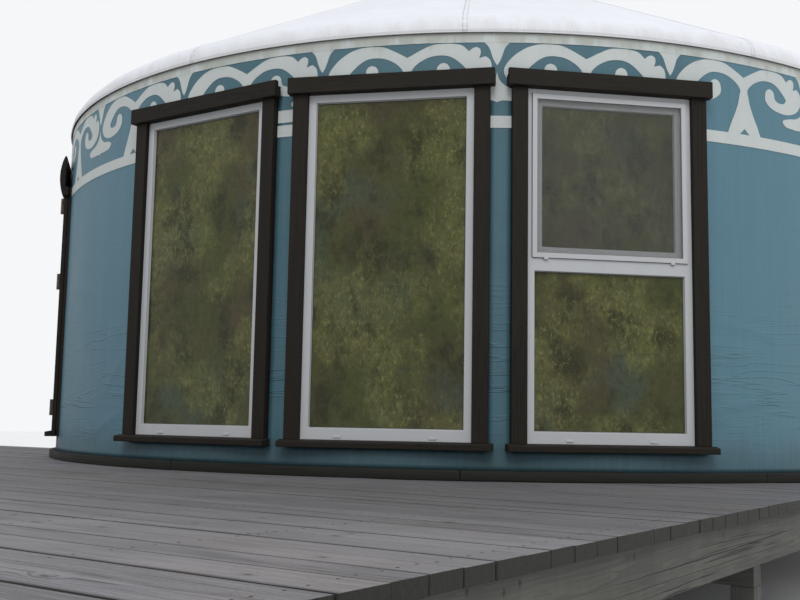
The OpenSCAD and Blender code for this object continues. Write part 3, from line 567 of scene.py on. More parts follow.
        # Painted light and shade over a broad mottling: darker near the yurt, lighter further out and
        # towards -X
        broad = coat.noise(coat.place, 1.3, 3.0, 0.55).spread(0.3, 0.7, 0.86, 1.12)
        mottle_and_painted_light = broad * reach.ease(4.5, 5.8, 0.77, 1.36) * x.spread(-0.6, 1.6, 1.13, 0.98)
        coat.filter(coat.join(mottle_and_painted_light, mottle_and_painted_light, mottle_and_painted_light))
        warm = drawn_out((1.1, 4.0, 1.0), 1.0, 3.0, 0.6).spread(0.35, 0.65)
        coat.filter(coat.mix(warm, (1.0, 1.0, 1.03, 1.0), (1.03, 0.985, 0.95, 1.0)))
        coat.over(drawn_out((2.6, 11.0, 1.0), 1.0, 3.0, 0.55).ease(0.57, 0.74, 0.0, 0.42), "deck", 0.45)
        rain = drawn_out((2.6, 210.0, 1.0), 1.0, 4.0, 0.7)
        coat.over(rain.spread(0.47, 0.72, 0.0, 0.5), "deck", 0.42)
        coat.over(rain.spread(0.28, 0.46, 0.3, 0.0), "deck", 1.7)
        grit = drawn_out((0.6, 1.0, 1.0), 130.0, 2.0, 0.6)
        coat.over(grit.spread(0.62, 0.70, 0.0, 0.5), (58, 56, 52))
        off, lot = self.knot(coat)
        coat.over(off.ease(0.004, 0.026, 0.5, 0.0), (72, 66, 62))
        core = coat.blend(lot, (44, 36, 30), (70, 56, 44))
        coat.over(off.spread(0.005, 0.0085, 0.85, 0.0), core)
        patchy = drawn_out((3.0, 60.0, 1.0), 1.0, 4.0, 0.6).spread(0.3, 0.62, 0.2, 0.85)
        rim = abs(coat.attribute("across") - 0.5).ease(0.41, 0.49) * patchy
        coat.over(coat.math("MULTIPLY", rim, coat.attribute("joint")), "deck", 0.28)
        # Painted shade: the boards' flanks inside the deck are darkened as the shade in the gaps between
        # boards
        facing = coat.split(coat.normal)
        inner = abs(y - 0.5 * (DECK_FRONT + DECK_END))
        inner = coat.math("LESS_THAN", inner, 0.5 * (DECK_END - DECK_FRONT) - 0.01)
        coat.over(abs(facing[1]).spread(0.5, 0.8) * inner, (34, 34, 30))
        sawn = coat.blend(coat.noise(coat.place, 60.0, 3.0, 0.6, 1.2), end, end, 0.5, 1.4)
        runs = drawn_out((1.0, 160.0, 9.0), 1.0, 3.0, 0.6).spread(0.45, 0.65, 0.0, 0.6)
        coat.over(abs(facing[0]).spread(0.6, 0.9), coat.blend(runs, sawn, end, high=0.35))
        return coat

    def floor_boards(self):
        return self.boards("floor", "YXZ", 0.38, 0.1, (0.78, 1.12))

    def vinyl(self):
        coat = self.start(Coat_Weight=0.08, Coat_Roughness=0.3)
        mottle, streak, speck = coat.use("weathering")
        coat.mottle(mottle, "vinyl", 0.93, 1.05)
        coat.over(streak.spread(0.5, 0.8, 0.0, 0.18), "vinyl", 0.72)
        coat.over(speck * 0.2, "vinyl", 0.5)
        rough = mottle.spread(0.3, 0.7, 0.34, 0.46)
        return coat.close(rough, coat.noise(coat.place, 700.0, 2.0), 0.00006)

    def glass(self):
        """Dark glass whose colour paints a reflection of the garden that it faces: foliage, trunks, sunlit
        sprays and leaves, and dark gaps.
        """
        coat = self.start(0.28, Transmission_Weight=0.25, IOR=1.45, Roughness=0.05)
        # Painted reflection: the glass's mirror light is tinted yellow-green like the garden
        coat.feed(coat.shader, {"Specular Tint": (0.95, 1.0, 0.72, 1.0)})
        along, _, up = coat.use("round_place")
        place = coat.join(along, up * 0.8, 0.0)

        def reflected_foliage(scale, detail, shift, stretch=(1.0, 1.0, 1.0), rough=0.55, swirl=0.0):
            moved = place * stretch + (shift, 3.0 * shift, 0.0)
            return coat.noise(moved, scale, detail, rough, swirl)

        hue = reflected_foliage(1.7, 3.0, 4.1).ease(0.36, 0.62)
        coat.shade = coat.blend(hue, (74, 66, 50), (68, 74, 38))
        coat.over(reflected_foliage(2.6, 2.0, 9.3).ease(0.50, 0.66, 0.0, 0.75), (66, 78, 68))
        trunk = reflected_foliage(4.0, 3.0, 6.2, (1.6, 0.12, 1.0))
        coat.over(trunk.ease(0.55, 0.70, 0.0, 0.30), (54, 47, 38))
        mass = reflected_foliage(2.6, 3.0, 2.9)
        coat.over(mass.ease(0.44, 0.60, 0.0, 0.62), (96, 98, 56))
        deep = reflected_foliage(5.2, 6.0, 1.7, (1.0, 0.85, 1.0), 0.62)
        coat.over(deep.ease(0.47, 0.64, 0.0, 0.85), (40, 41, 26))
        # Painted sunlight on the reflected foliage, which lightens its sprays and leaves
        sun = mass.ease(0.42, 0.62, 0.15, 1.0)
        sprays = reflected_foliage(17.0, 8.0, 0.4, (1.0, 0.75, 1.0), 0.82, 0.12)
        coat.over(sprays.spread(0.50, 0.66, 0.0, 0.62) * sun, (132, 130, 82))
        leaves = reflected_foliage(64.0, 4.0, 5.3, (1.0, 0.7, 1.0), 0.7)
        coat.over(leaves.spread(0.54, 0.68, 0.0, 0.6) * sun, (150, 148, 98))
        gaps = reflected_foliage(38.0, 5.0, 7.7, (1.0, 0.8, 1.0), 0.75)
        coat.over(gaps.spread(0.50, 0.66, 0.0, 0.6), (44, 45, 30))
        return coat

    def mesh_screen(self):
        """Fine insect mesh, seen through between its threads."""
        coat = self.start(0.3)
        along, _, up = coat.use("round_place")
        thread = coat.math("MAXIMUM", *(abs(coat.math("SINE", way * 2600.0)) for way in (along, up)))
        coat.mottle(thread, "screen", 0.6, 0.95)
        coat.feed(coat.shader, {"Alpha": thread.spread(0.72, 0.86, 0.10, 0.26)})
        return coat.close(0.5, thread, 0.0001)

    def iron(self):
        """Painted iron, rubbed bright here and there."""
        coat = self.start()
        rub = coat.noise(coat.place, 38.0, 5.0, 0.65).spread(0.56, 0.66)
        coat.mottle(coat.use("weathering")["Mottle"], "iron", 0.8, 1.15)
        coat.over(rub, (104, 92, 80))
        coat.feed(coat.shader, {"Metallic": rub * 0.7})
        return coat.close(rub.spread(0.0, 1.0, 0.5, 0.36), rub, 0.0002)

    def speckled(self, specular, grain, first, second, rough, depth):
        coat = self.start(specular)
        grain = coat.noise(coat.place, *grain)
        coat.shade = coat.blend(grain, first, second)
        return coat.close(rough, grain, depth)

    def studio_floor(self):
        coat = self.start(Roughness=0.9)
        tone = coat.noise(coat.place, 0.5, 2.0)
        coat.shade = coat.mix(tone, (0.80, 0.80, 0.79, 1.0), (0.86, 0.86, 0.86, 1.0))
        return coat

    def nail_steel(self):
        coat = self.start(Metallic=0.3)
        rust = coat.noise(coat.place, 60.0, 3.0)
        coat.shade = coat.blend(rust.spread(0.4, 0.6), (52, 50, 48), (74, 58, 46))
        return coat.close(0.55, rust, 0.0002)


CACHE = {}


def sizes():
    return bpy.context.scene.yurt_sizes


def finish(name):
    """A finish by its name; the first one asked for makes the shared groups."""
    if "finishes" not in CACHE:
        CACHE["finishes"] = Finishes(bpy.context.scene.yurt_colours)
    return CACHE["finishes"][name]


def add_object(name, data):
    obj = bpy.data.objects.new(name, data)
    bpy.context.scene.collection.objects.link(obj)
    return obj


def add_mesh(name, verts, faces=(), finished=None, smooth=False, edges=()):
    """An object at the origin, with its place in its mesh."""
    mesh = bpy.data.meshes.new(name)
    mesh.from_pydata(verts, edges, faces)
    if smooth:
        mesh.shade_smooth()
    if finished:
        mesh.materials.append(finish(finished))
    return add_object(name, mesh)


def write_values(mesh, label, values, domain="POINT"):
    """An attribute of single numbers, or of vectors where the values are vectors."""
    kind, key = ("FLOAT_VECTOR", "vector") if hasattr(values[0], "__len__") else ("FLOAT", "value")
    flat = [c for value in values for c in value] if key == "vector" else values
    mesh.attributes.new(label, kind, domain).data.foreach_set(key, flat)


def cloth_uv(mesh, coordinates):
    """A map named cloth, in metres along the cloth, from each vertex's pair."""
    pairs = [c for loop in mesh.loops for c in coordinates[loop.vertex_index]]
    mesh.uv_layers.new(name="cloth").data.foreach_set("uv", pairs)


def settle(obj, slot, body="yurt"):
    """A finished piece rides on its body."""
    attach(obj, body)
    return obj


def bevel(obj, width, segments=2):
    """Rounds a piece's edges."""
    edge = obj.modifiers.new("bevel", "BEVEL")
    edge.width, edge.segments = width, segments
    edge.limit_method, edge.angle_limit = "ANGLE", radians(40)
    edge.harden_normals = False
    return edge


def thicken(obj, thickness):
    """Gives a sheet its thickness, inwards from its outer face."""
    wall = obj.modifiers.new("thickness", "SOLIDIFY")
    wall.thickness, wall.offset, wall.use_rim = thickness, -1.0, True


def hang(cloth, thickness, slot, *replaced):
    """Makes a sheet a finished piece in place of CAD nodes, and tells its area."""
    area = sum(face.area for face in cloth.data.polygons)
    thicken(cloth, thickness)
    if replaced:
        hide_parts(*replaced)
    settle(cloth, slot)
    return area


def dress(finished, width, *names, segments=2):
    """Gives CAD nodes a finish, and welds them and rounds their edges where a width is given."""
    for name in names:
        obj = NODES[name]
        obj.data.materials.clear()
        obj.data.materials.append(finish(finished))
        if width:
            obj.modifiers.new("weld", "WELD").merge_threshold = 0.00005
            bevel(obj, width, segments)


def evaluated(obj):
    """A piece's mesh with its modifiers worked in."""
    bpy.context.view_layer.update()
    graph = bpy.context.evaluated_depsgraph_get()
    return bpy.data.meshes.new_from_object(obj.evaluated_get(graph))


@contextlib.contextmanager
def editing(mesh):
    """Opens a mesh for changes, and writes them back."""
    shape = bmesh.new()
    shape.from_mesh(mesh)
    yield shape
    shape.to_mesh(mesh)
    shape.free()


def on_wall(azimuth, radius, z):
    return Vector((radius * sin(azimuth), -radius * cos(azimuth), z))


def at_azimuth(azimuth):
    """Turns a piece drawn facing -Y to an azimuth."""
    return Matrix.Rotation(azimuth, 4, "Z")


def turn_between(azimuth, other):
    """The shorter turn from the other azimuth to this one."""
    return (azimuth - other + pi) % TURN - pi


def around(count):
    return [TURN * k / count for k in range(count)]


def paces(start, end, step):
    """Positions from the start, a step apart, that lie before the end."""
    while start < end:
        yield start
        start += step


def box(low, high):
    """The eight corners of an upright box, foot first."""
    (x0, y0, z0), (x1, y1, z1) = low, high
    return [(x, y, z) for z in (z0, z1) for x, y in ((x0, y0), (x1, y0), (x1, y1), (x0, y1))]


def add_boxes(name, azimuth, boxes, finished):
    """Boxes by their corners, given in a window's or the door's own place."""
    turn = at_azimuth(azimuth)
    verts = [turn @ Vector(corner) for corners in boxes for corner in corners]
    sides = ((0, 3, 2, 1), (4, 5, 6, 7), (0, 1, 5, 4), (1, 2, 6, 5), (2, 3, 7, 6), (3, 0, 4, 7))
    faces = [[first + i for i in side] for first in range(0, len(verts), 8) for side in sides]
    return add_mesh(name, verts, faces, finished)


def repeating(name, build, inputs):
    """A geometry node group that makes what is built real and gives it its material."""
    tree = bpy.data.node_groups.new(name, "GeometryNodeTree")

    def socket(label, kind, way="INPUT"):
        return tree.interface.new_socket(label, in_out=way, socket_type="NodeSocket" + kind)

    socket("Geometry", "Geometry")
    for label, default in inputs.items():
        kind = {tuple: "Vector", float: "Float", int: "Int"}[type(default)]
        socket(label, kind).default_value = default
    socket("Material", "Material")
    socket("Geometry", "Geometry", "OUTPUT")
    t = Tree(tree)
    given = t.put("NodeGroupInput")
    real = t.put("GeometryNodeRealizeInstances", {"Geometry": build(t, given)})
    done = t.put("GeometryNodeSetMaterial", {"Geometry": real[0], "Material": given["Material"]})
    t.put("NodeGroupOutput", {0: done[0]})
    return tree


def domed_pieces(t, given):
    """A domed piece on each point, turned by the point's facing and along."""
    balls = {"Segments": given["Segments"], "Rings": given["Rings"], "Radius": 1.0}
    ball = t.put("GeometryNodeMeshUVSphere", balls)
    reader = "GeometryNodeInputNamedAttribute"
    ways = [t.put(reader, {"Name": n}, data_type="FLOAT_VECTOR")["Attribute"] for n in ("facing", "along")]
    ways = dict(enumerate(ways))
    turn = t.put("FunctionNodeAxesToRotation", ways, primary_axis="Z", secondary_axis="X")
    limits = {2: 1.0 - given["Variation"], 3: given["Variation"] + 1.0, "Seed": given["Seed"]}
    share = t.put("FunctionNodeRandomValue", limits, data_type="FLOAT")[1]
    points = t.put("GeometryNodeMeshToPoints", {"Mesh": given["Geometry"]})
    placed = {"Points": points[0], "Instance": ball["Mesh"], "Rotation": turn[0]}
    placed["Scale"] = t.scale(given["Size"], share)
    return t.put("GeometryNodeInstanceOnPoints", placed)[0]


def round_sweep(t, given):
    """A round section swept along a piece's edges."""
    path = t.put("GeometryNodeMeshToCurve", {"Mesh": given["Geometry"]})
    section = {"Resolution": given["Sides"], "Radius": given["Radius"]}
    ring = t.put("GeometryNodeCurvePrimitiveCircle", section)
    swept = {"Curve": path[0], "Profile Curve": ring[0], "Fill Caps": True}
    return t.put("GeometryNodeCurveToMesh", swept)[0]


def made_plain(name, carrier, group, build, finished, slot, body="yurt", **inputs):
    """The plain piece that a geometry node group makes of a carrier, settled on its body."""
    tree = bpy.data.node_groups.get(group) or repeating(group, build, inputs)
    modifier = carrier.modifiers.new(group, "NODES")
    modifier.node_group = tree
    inputs["Material"] = finish(finished)
    for item in tree.interface.items_tree:
        if item.in_out == "INPUT" and item.name in inputs:
            modifier[item.identifier] = inputs[item.name]
    mesh = evaluated(carrier)
    mesh.name = name
    bpy.data.objects.remove(carrier)
    return settle(add_object(name, mesh), slot, body)


def set_on_points(name, points, size, finished, slot, spread, rings, segments, seed=1, body="yurt"):
    """Small domed pieces, each at (place, facing, along), as one plain mesh; half sizes in mm."""
    places, facing, along = zip(*points)
    size = tuple(part / 1000 for part in size)
    carrier = add_mesh(name + "_points", places)
    write_values(carrier.data, "facing", facing)
    write_values(carrier.data, "along", along)
    shape = {"Size": size, "Variation": spread, "Segments": segments, "Rings": rings, "Seed": seed}
    return made_plain(name, carrier, "set_on_points", domed_pieces, finished, slot, body, **shape)


def stitch_rows(name, points, size, slot):
    look = {"finished": "linen_thread", "slot": slot}
    return set_on_points(name, points, size, **look, spread=0.1, rings=3, segments=5)


def sweep_ring(name, points, radius):
    """A closed round cord of canvas through points, as one plain mesh."""
    count = len(points)
    carrier = add_mesh(name + "_path", points, edges=[(i, (i + 1) % count) for i in range(count)])
    shape = {"Radius": radius, "Sides": 8}
    return made_plain(name, carrier, "sweep_round", round_sweep, "roof_canvas", "roof_canvas", **shape)


def clip(outline, nx, ny, limit):
    """Keeps the part of a convex outline where nx * x + ny * y is at most the limit."""
    kept = []
    for (x0, y0), (x1, y1) in zip(outline, outline[1:] + outline[:1]):
        before, after = nx * x0 + ny * y0 - limit, nx * x1 + ny * y1 - limit
        if before <= 0:
            kept.append((x0, y0))
        if before * after < 0:
            t = before / (before - after)
            kept.append((x0 + t * (x1 - x0), y0 + t * (y1 - y0)))
    return kept


def lay_boards(name, boards, replaced, slot, top, thickness, width_axis, ease):
    """Boards given as (outline, tone, drop, joints), each a closed prism.

    The joints say how open a board's low and high sides are, from 0 to 1; the more
    open, the more the edge is eased and soiled.
    """
    verts, faces = [], []
    values = {"tone": [], "across": [], "joint": []}
    for outline, tone, drop, (below, above) in boards:
        count, first = len(outline), len(verts)
        sides = [point[width_axis] for point in outline]
        low, width = min(sides), max(sides) - min(sides)
        across = [(side - low) / width for side in sides]
        for z in (top - thickness, top - drop):
            verts += [(x, y, z) for x, y in outline]
            values["tone"] += [tone] * count
            values["across"] += across
            values["joint"] += [below + (above - below) * share for share in across]
        foot, head = (range(first + lift, first + lift + count) for lift in (0, count))
        faces += [foot[::-1], head]
        faces += [(foot[i - 1], foot[i], head[i], head[i - 1]) for i in (*range(1, count), 0)]
    obj = add_mesh(name, verts, faces, slot)
    for label, numbers in values.items():
        write_values(obj.data, label, numbers)
    opened = values["joint"]
    weights = [0.3 + 0.7 * min(opened[i] for i in edge.vertices) for edge in obj.data.edges]
    write_values(obj.data, "bevel_weight_edge", weights, "EDGE")
    bevel(obj, ease).limit_method = "WEIGHT"
    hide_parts(replaced)
    settle(obj, slot)


def breaks(low, high, cuts, step):
    """Positions from low to high that take in each cut, with even steps between."""
    marks = sorted({low, high, *(cut for cut in cuts if low < cut < high)})
    places = []
    for start, end in zip(marks, marks[1:]):
        count = max(1, round((end - start) / step))
        places += [start + (end - start) * i / count for i in range(count)]
    return [*places, high]


# Azimuth, half turn and head of each opening, and the lines where they begin and end
OPENINGS = [(azimuth, asin(HALF_CUT / WALL_R), CUT_HEAD) for azimuth in WINDOW_AZ]
OPENINGS.append((DOOR_AZ, asin(HALF_JAMB / WALL_R), DOOR_CUT_HEAD))
CUT_TURNS = [a + s * half + more for a, half, _ in OPENINGS for s in (-1, 1) for more in (0.0, TURN)]
CUT_HEIGHTS = [CUT_FOOT, CUT_HEAD, DOOR_CUT_HEAD]


def in_openings(azimuth, z):
    """Whether a place on the wall lies in a window's or the door's opening."""
    return any(abs(turn_between(azimuth, a)) < half and CUT_FOOT < z < head for a, half, head in OPENINGS)


def grid_sheet(name, columns, rows, place, finished, inside=False, closed=False):
    """A sheet over columns and rows: closed round the yurt, or cut out at its openings."""
    index, verts, flat, faces = {}, [], [], []
    count = len(columns)

    def corner(i, j):
        if (i, j) not in index:
            index[i, j] = len(verts)
            point, pair = place(columns[i], rows[j])
            verts.append(point)
            flat.append(pair)
        return index[i, j]

    for i in range(count if closed else count - 1):
        k = (i + 1) % count
        for j in range(len(rows) - 1):
            if closed or not in_openings(0.5 * (columns[i] + columns[k]), 0.5 * (rows[j] + rows[j + 1])):
                quad = (corner(i, j), corner(k, j), corner(k, j + 1), corner(i, j + 1))
                faces.append(quad[::-1] if inside else quad)
    obj = add_mesh(name, verts, faces, finished, smooth=True)
    cloth_uv(obj.data, flat)
    return obj


# Folds in the wall's canvas: azimuths in degrees and heights of both ends, half width
# and height; a negative height is a fold that sinks
FOLDS = (
    (53.6, 1.508, 55.4, 1.490, 0.012, 0.0030),
    (54.4, 1.410, 61.5, 1.350, 0.016, 0.0034),
    (53.6, 1.290, 58.8, 1.245, 0.030, 0.0030),
    (53.6, 1.015, 56.3, 1.040, 0.012, 0.0036),
    (55.4, 0.965, 62.5, 1.035, 0.013, 0.0058),
    (53.7, 0.893, 55.9, 0.905, 0.010, 0.0030),
    (56.9, 1.120, 57.6, 0.790, 0.010, -0.0022),
    (58.9, 1.060, 59.2, 0.760, 0.010, -0.0022),
    (12.2, 1.760, 12.4, 0.760, 0.020, -0.0016),
    (33.4, 1.900, 33.7, 0.720, 0.022, 0.0016),
    (-10.2, 1.200, -13.6, 1.020, 0.020, 0.0030),
    (-10.0, 0.900, -15.0, 0.800, 0.018, 0.0036),
    (-27.0, 1.700, -19.0, 1.620, 0.030, 0.0030),
)
# Azimuths where one length of the wall's canvas laps over the next, half the lap, its rise
# and how softly that ends
LAPS = tuple(map(radians, (-52.6, 78.0, 196.0)))
LAP_W, LAP_RISE, LAP_FADE = 0.045, 0.0026, 0.03
# How far the canvas puckers up from the curb and out from a window
CURB_PUCKER, SIDE_PUCKER = 0.55, 0.25


def fold_height(azimuth, z):
    """Sum of the folds at a place on the wall."""
    total, along = 0.0, WALL_R * azimuth
    for a0, z0, a1, z1, width, height in FOLDS:
        x0, x1 = WALL_R * radians(a0), WALL_R * radians(a1)
        dx, dz = x1 - x0, z1 - z0
        share = ((along - x0) * dx + (z - z0) * dz) / (dx * dx + dz * dz)
        gap = hypot(along - x0 - share * dx, z - z0 - share * dz)
        if not -0.3 < share < 1.3 or gap > 4 * width:
            continue
        fade = max(0.0, 1.0 - (2.0 * share - 1.0) ** 4 / 2.5)
        if not 0 <= share <= 1:
            fade = 0.6 * (1.0 - min(1.0, (abs(share - 0.5) - 0.5) / 0.3))
        total += height * exp(-((gap / width) ** 2)) * fade
    return total


def wall_skin(azimuth, z):
    """How far the wall's canvas lies outside the wall's radius."""
    along = WALL_R * azimuth
    turn = Vector((2.2 * cos(azimuth), 2.2 * sin(azimuth), 0.9 * z))
    swell = noise.noise(turn * 1.3) + 0.45 * noise.noise(turn * 3.1)
    crinkle = noise.noise(Vector((along * 5.0, 0.0, z * 13.0)))
    pull = noise.noise(Vector((along * 16.0, 3.0, z * 2.2)))
    low = max(0.0, 1.0 - (z - CURB_TOP) / CURB_PUCKER) ** 1.5
    rise = 0.0022 + sizes().slack * (0.5 + 0.5 * swell) + 0.0007 * crinkle * (0.5 + low)
    rise += 0.0012 * low * pull
    for window in WINDOW_AZ:
        edge = abs(azimuth - window) * WALL_R - 0.507
        if 0.0 < edge < SIDE_PUCKER and z < CUT_HEAD + 0.1:
            pucker = noise.noise(Vector((z * 9.0, degrees(window), 1.0 + along * 1.5)))
            rise += 0.0016 * pucker * (1.0 - edge / SIDE_PUCKER)
    return rise * (0.4 + 0.6 * min(1.0, (EAVE_Z - z) / 0.12)) + fold_height(azimuth, z)


def lap_lift(azimuth):
    """Rise of the upper length of canvas over the lower one at a lap."""
    gap = min(abs(turn_between(azimuth, lap)) for lap in LAPS) * WALL_R - LAP_W
    return LAP_RISE * (1.0 - min(1.0, max(0.0, gap / LAP_FADE)))


def slice_at(shape, axis, at):
    """Cuts a flat shape across its first or second axis."""
    normal = Vector((1 - axis, axis, 0))
    everything = shape.verts[:] + shape.edges[:] + shape.faces[:]
    bmesh.ops.bisect_plane(shape, geom=everything, plane_co=normal * at, plane_no=normal, dist=1e-6)


# Spacing of the points along a motif's outline, and the least that two may lie apart
OUTLINE_STEP, OUTLINE_LEAST = 0.012, 0.0008


def smooth_outline(half, other=None):
    """A closed Catmull-Rom line through a half in millimetres and the other half's mirror."""
    whole = [*half, *((-x, y) for x, y in reversed(other or half))]
    points = [Vector((x / 1000, EAVE_Z - y / 1000)) for x, y in whole]
    kept = []
    for i in range(len(points)):
        p0, p1, p2, p3 = (points[(i + k) % len(points)] for k in (-1, 0, 1, 2))
        steps = max(1, int((p2 - p1).length / OUTLINE_STEP))
        for t in (s / steps for s in range(steps)):
            point = 2 * p1 + (p2 - p0) * t
            point += (2 * p0 - 5 * p1 + 4 * p2 - p3) * t * t
            point += (3 * p1 - p0 - 3 * p2 + p3) * t**3
            point *= 0.5
            if not kept or (point - kept[-1]).length > OUTLINE_LEAST:
                kept.append(point)
    if (kept[0] - kept[-1]).length < OUTLINE_LEAST:
        kept.pop()
    return kept


def flat_piece(outline, cell=0.030):
    """An outline on the flat, filled and cut into cells, as vertices and faces."""
    shape = bmesh.new()
    shape.faces.new([shape.verts.new((x, y, 0.0)) for x, y in outline])
    shape.normal_update()
    bmesh.ops.triangulate(shape, faces=shape.faces[:], ngon_method="EAR_CLIP")
    for axis in (0, 1):
        places = [vert.co[axis] for vert in shape.verts]
        low, reach = min(places), max(places) - min(places)
        count = int(reach / cell) + 1
        for i in range(1, count):
            slice_at(shape, axis, low + reach * i / count)
    bmesh.ops.dissolve_degenerate(shape, dist=1e-6, edges=shape.edges[:])
    shape.normal_update()
    shape.verts.index_update()
    verts = [tuple(vert.co[:2]) for vert in shape.verts]
    faces = [[vert.index for vert in face.verts][:: 1 if face.normal.z > 0 else -1] for face in shape.faces]
    shape.free()
    return verts, faces


class RoofLine:
    """The roof's line from its edge up to the crown, for one radius of its shoulder."""

    SWING = pi / 2 - PITCH

    def __init__(self, radius, end):
        self.radius, self.end, self.arc = radius, end, radius * self.SWING
        start = SHOULDER[0] + radius * cos(self.SWING)
        self.length = self.arc + (start - end) / cos(PITCH)

    def profile(self, t):
        """Radius and height at a length up the line, and the way off it, outwards and up."""
        angle, run = min(t / self.radius, self.SWING), max(0.0, t - self.arc)
        out, up = cos(angle), sin(angle)
        r = SHOULDER[0] + self.radius * out - run * cos(PITCH)
        return max(r, self.end), SHOULDER[1] + self.radius * up + run * sin(PITCH), out, up

    def at(self, azimuth, t, lift=0.0):
        """A place at a length up the line and lifted off it, with its facing and its way up."""
        r, z, out, up = self.profile(t)
        place = on_wall(azimuth, r + out * lift, z + up * lift)
        return place, on_wall(azimuth, out, up), on_wall(azimuth, -up, out)


def roof_skin(azimuth, t):
    """How far the roof's canvas lies outside the frame's roof."""
    between = 1.0 - sin(azimuth * POLES / 2) ** 2
    slope = min(1.0, max(0.0, (t - 0.05) / 0.25))
    sag = sizes().scallop * between * slope * max(0.2, (3.04 - 0.88 * t) / 3.0)
    ripple = noise.noise(Vector((3 * cos(azimuth), 3 * sin(azimuth), 2.4 * t)) * 2.0)
    edge = noise.noise(Vector((azimuth * 18.0, 7.0, t * 9.0))) * max(0.0, 1.0 - t / 0.22)
    return 0.0016 - sag + 0.0011 * ripple * min(1.0, t / 0.1) + 0.0012 * edge


class YURT_OT_stage(bpy.types.Operator):
    """Makes the camera, the lights, the world and the pale floor."""

    bl_idname = "yurt.stage"
    bl_label = "Stage"

    # The camera: where it stands, its lens, its turn from +Y to +X, its tilt up and its roll
    EYE, LENS, TURNS = (4.1395, -6.9315, 0.8745), 46.56, (-34.805, 6.710, 1.006)
    PAPER, SKY, SOFT = (0.92, 0.93, 0.95, 1.0), (0.95, 0.97, 1.0, 1.0), 0.62
    # Each sun: its strength, its spread in degrees and where it shines to
    SUNS = {"key": (1.5, 35.0, (-0.35, 0.62, -0.70)), "fill": (0.5, 80.0, (-0.75, -0.30, -0.58))}

    def execute(self, context):
        self.camera(context.scene)
        self.world(context.scene)
        for name, (strength, spread, direction) in self.SUNS.items():
            data = bpy.data.lights.new(name, "SUN")
            data.energy, data.angle = strength, radians(spread)
            turn = Vector(direction).to_track_quat("-Z", "Y")
            add_object(name, data).rotation_euler = turn.to_euler()
        reach, drop = 45.0, -0.001
        corners = box((-reach, -reach, drop), (reach, reach, drop))[:4]
        add_mesh("studio_floor", corners, [(0, 1, 2, 3)], "studio_floor")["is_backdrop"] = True
        context.scene.view_settings.view_transform = "Standard"
        return {"FINISHED"}

    def camera(self, scene):
        data = bpy.data.cameras.new("camera")
        data.lens, data.sensor_width, data.clip_end = self.LENS, 36.0, 200.0
        scene.camera = add_object("camera", data)
        turn, tilt, roll = map(radians, self.TURNS)
        ahead = Vector((sin(turn) * cos(tilt), cos(turn) * cos(tilt), sin(tilt)))
        level = Vector((cos(turn), -sin(turn), 0.0))
        upright = level.cross(ahead)
        right = level * cos(roll) + upright * sin(roll)
        up = upright * cos(roll) - level * sin(roll)
        facing = Matrix((right, up, -ahead)).transposed().to_4x4()
        scene.camera.matrix_world = Matrix.Translation(self.EYE) @ facing

    def world(self, scene):
        """Soft light all round, behind which rays from the camera and mirrors meet the paper."""
        scene.world = bpy.data.worlds.new("studio")
        scene.world.use_nodes = True
        t = Tree(scene.world.node_tree)
        soft, out = (t.tree.nodes[name] for name in ("Background", "World Output"))
        t.feed(soft, {"Color": self.SKY, "Strength": self.SOFT})
        paper = t.put("ShaderNodeBackground", {"Color": self.PAPER, "Strength": 1.0})
        path = t.put("ShaderNodeLightPath")
        seen = t.math("MAXIMUM", path["Is Camera Ray"], path["Is Glossy Ray"])
        seen = t.math("MAXIMUM", seen, path["Is Transmission Ray"])
        blend = t.put("ShaderNodeMixShader", {0: seen, 1: Outputs(t, soft)[0], 2: paper[0]})
        t.feed(out, {"Surface": blend[0]})


def directions(*angles):
    """Level directions at angles from +X in degrees."""
    return [(cos(radians(angle)), sin(radians(angle))) for angle in angles]


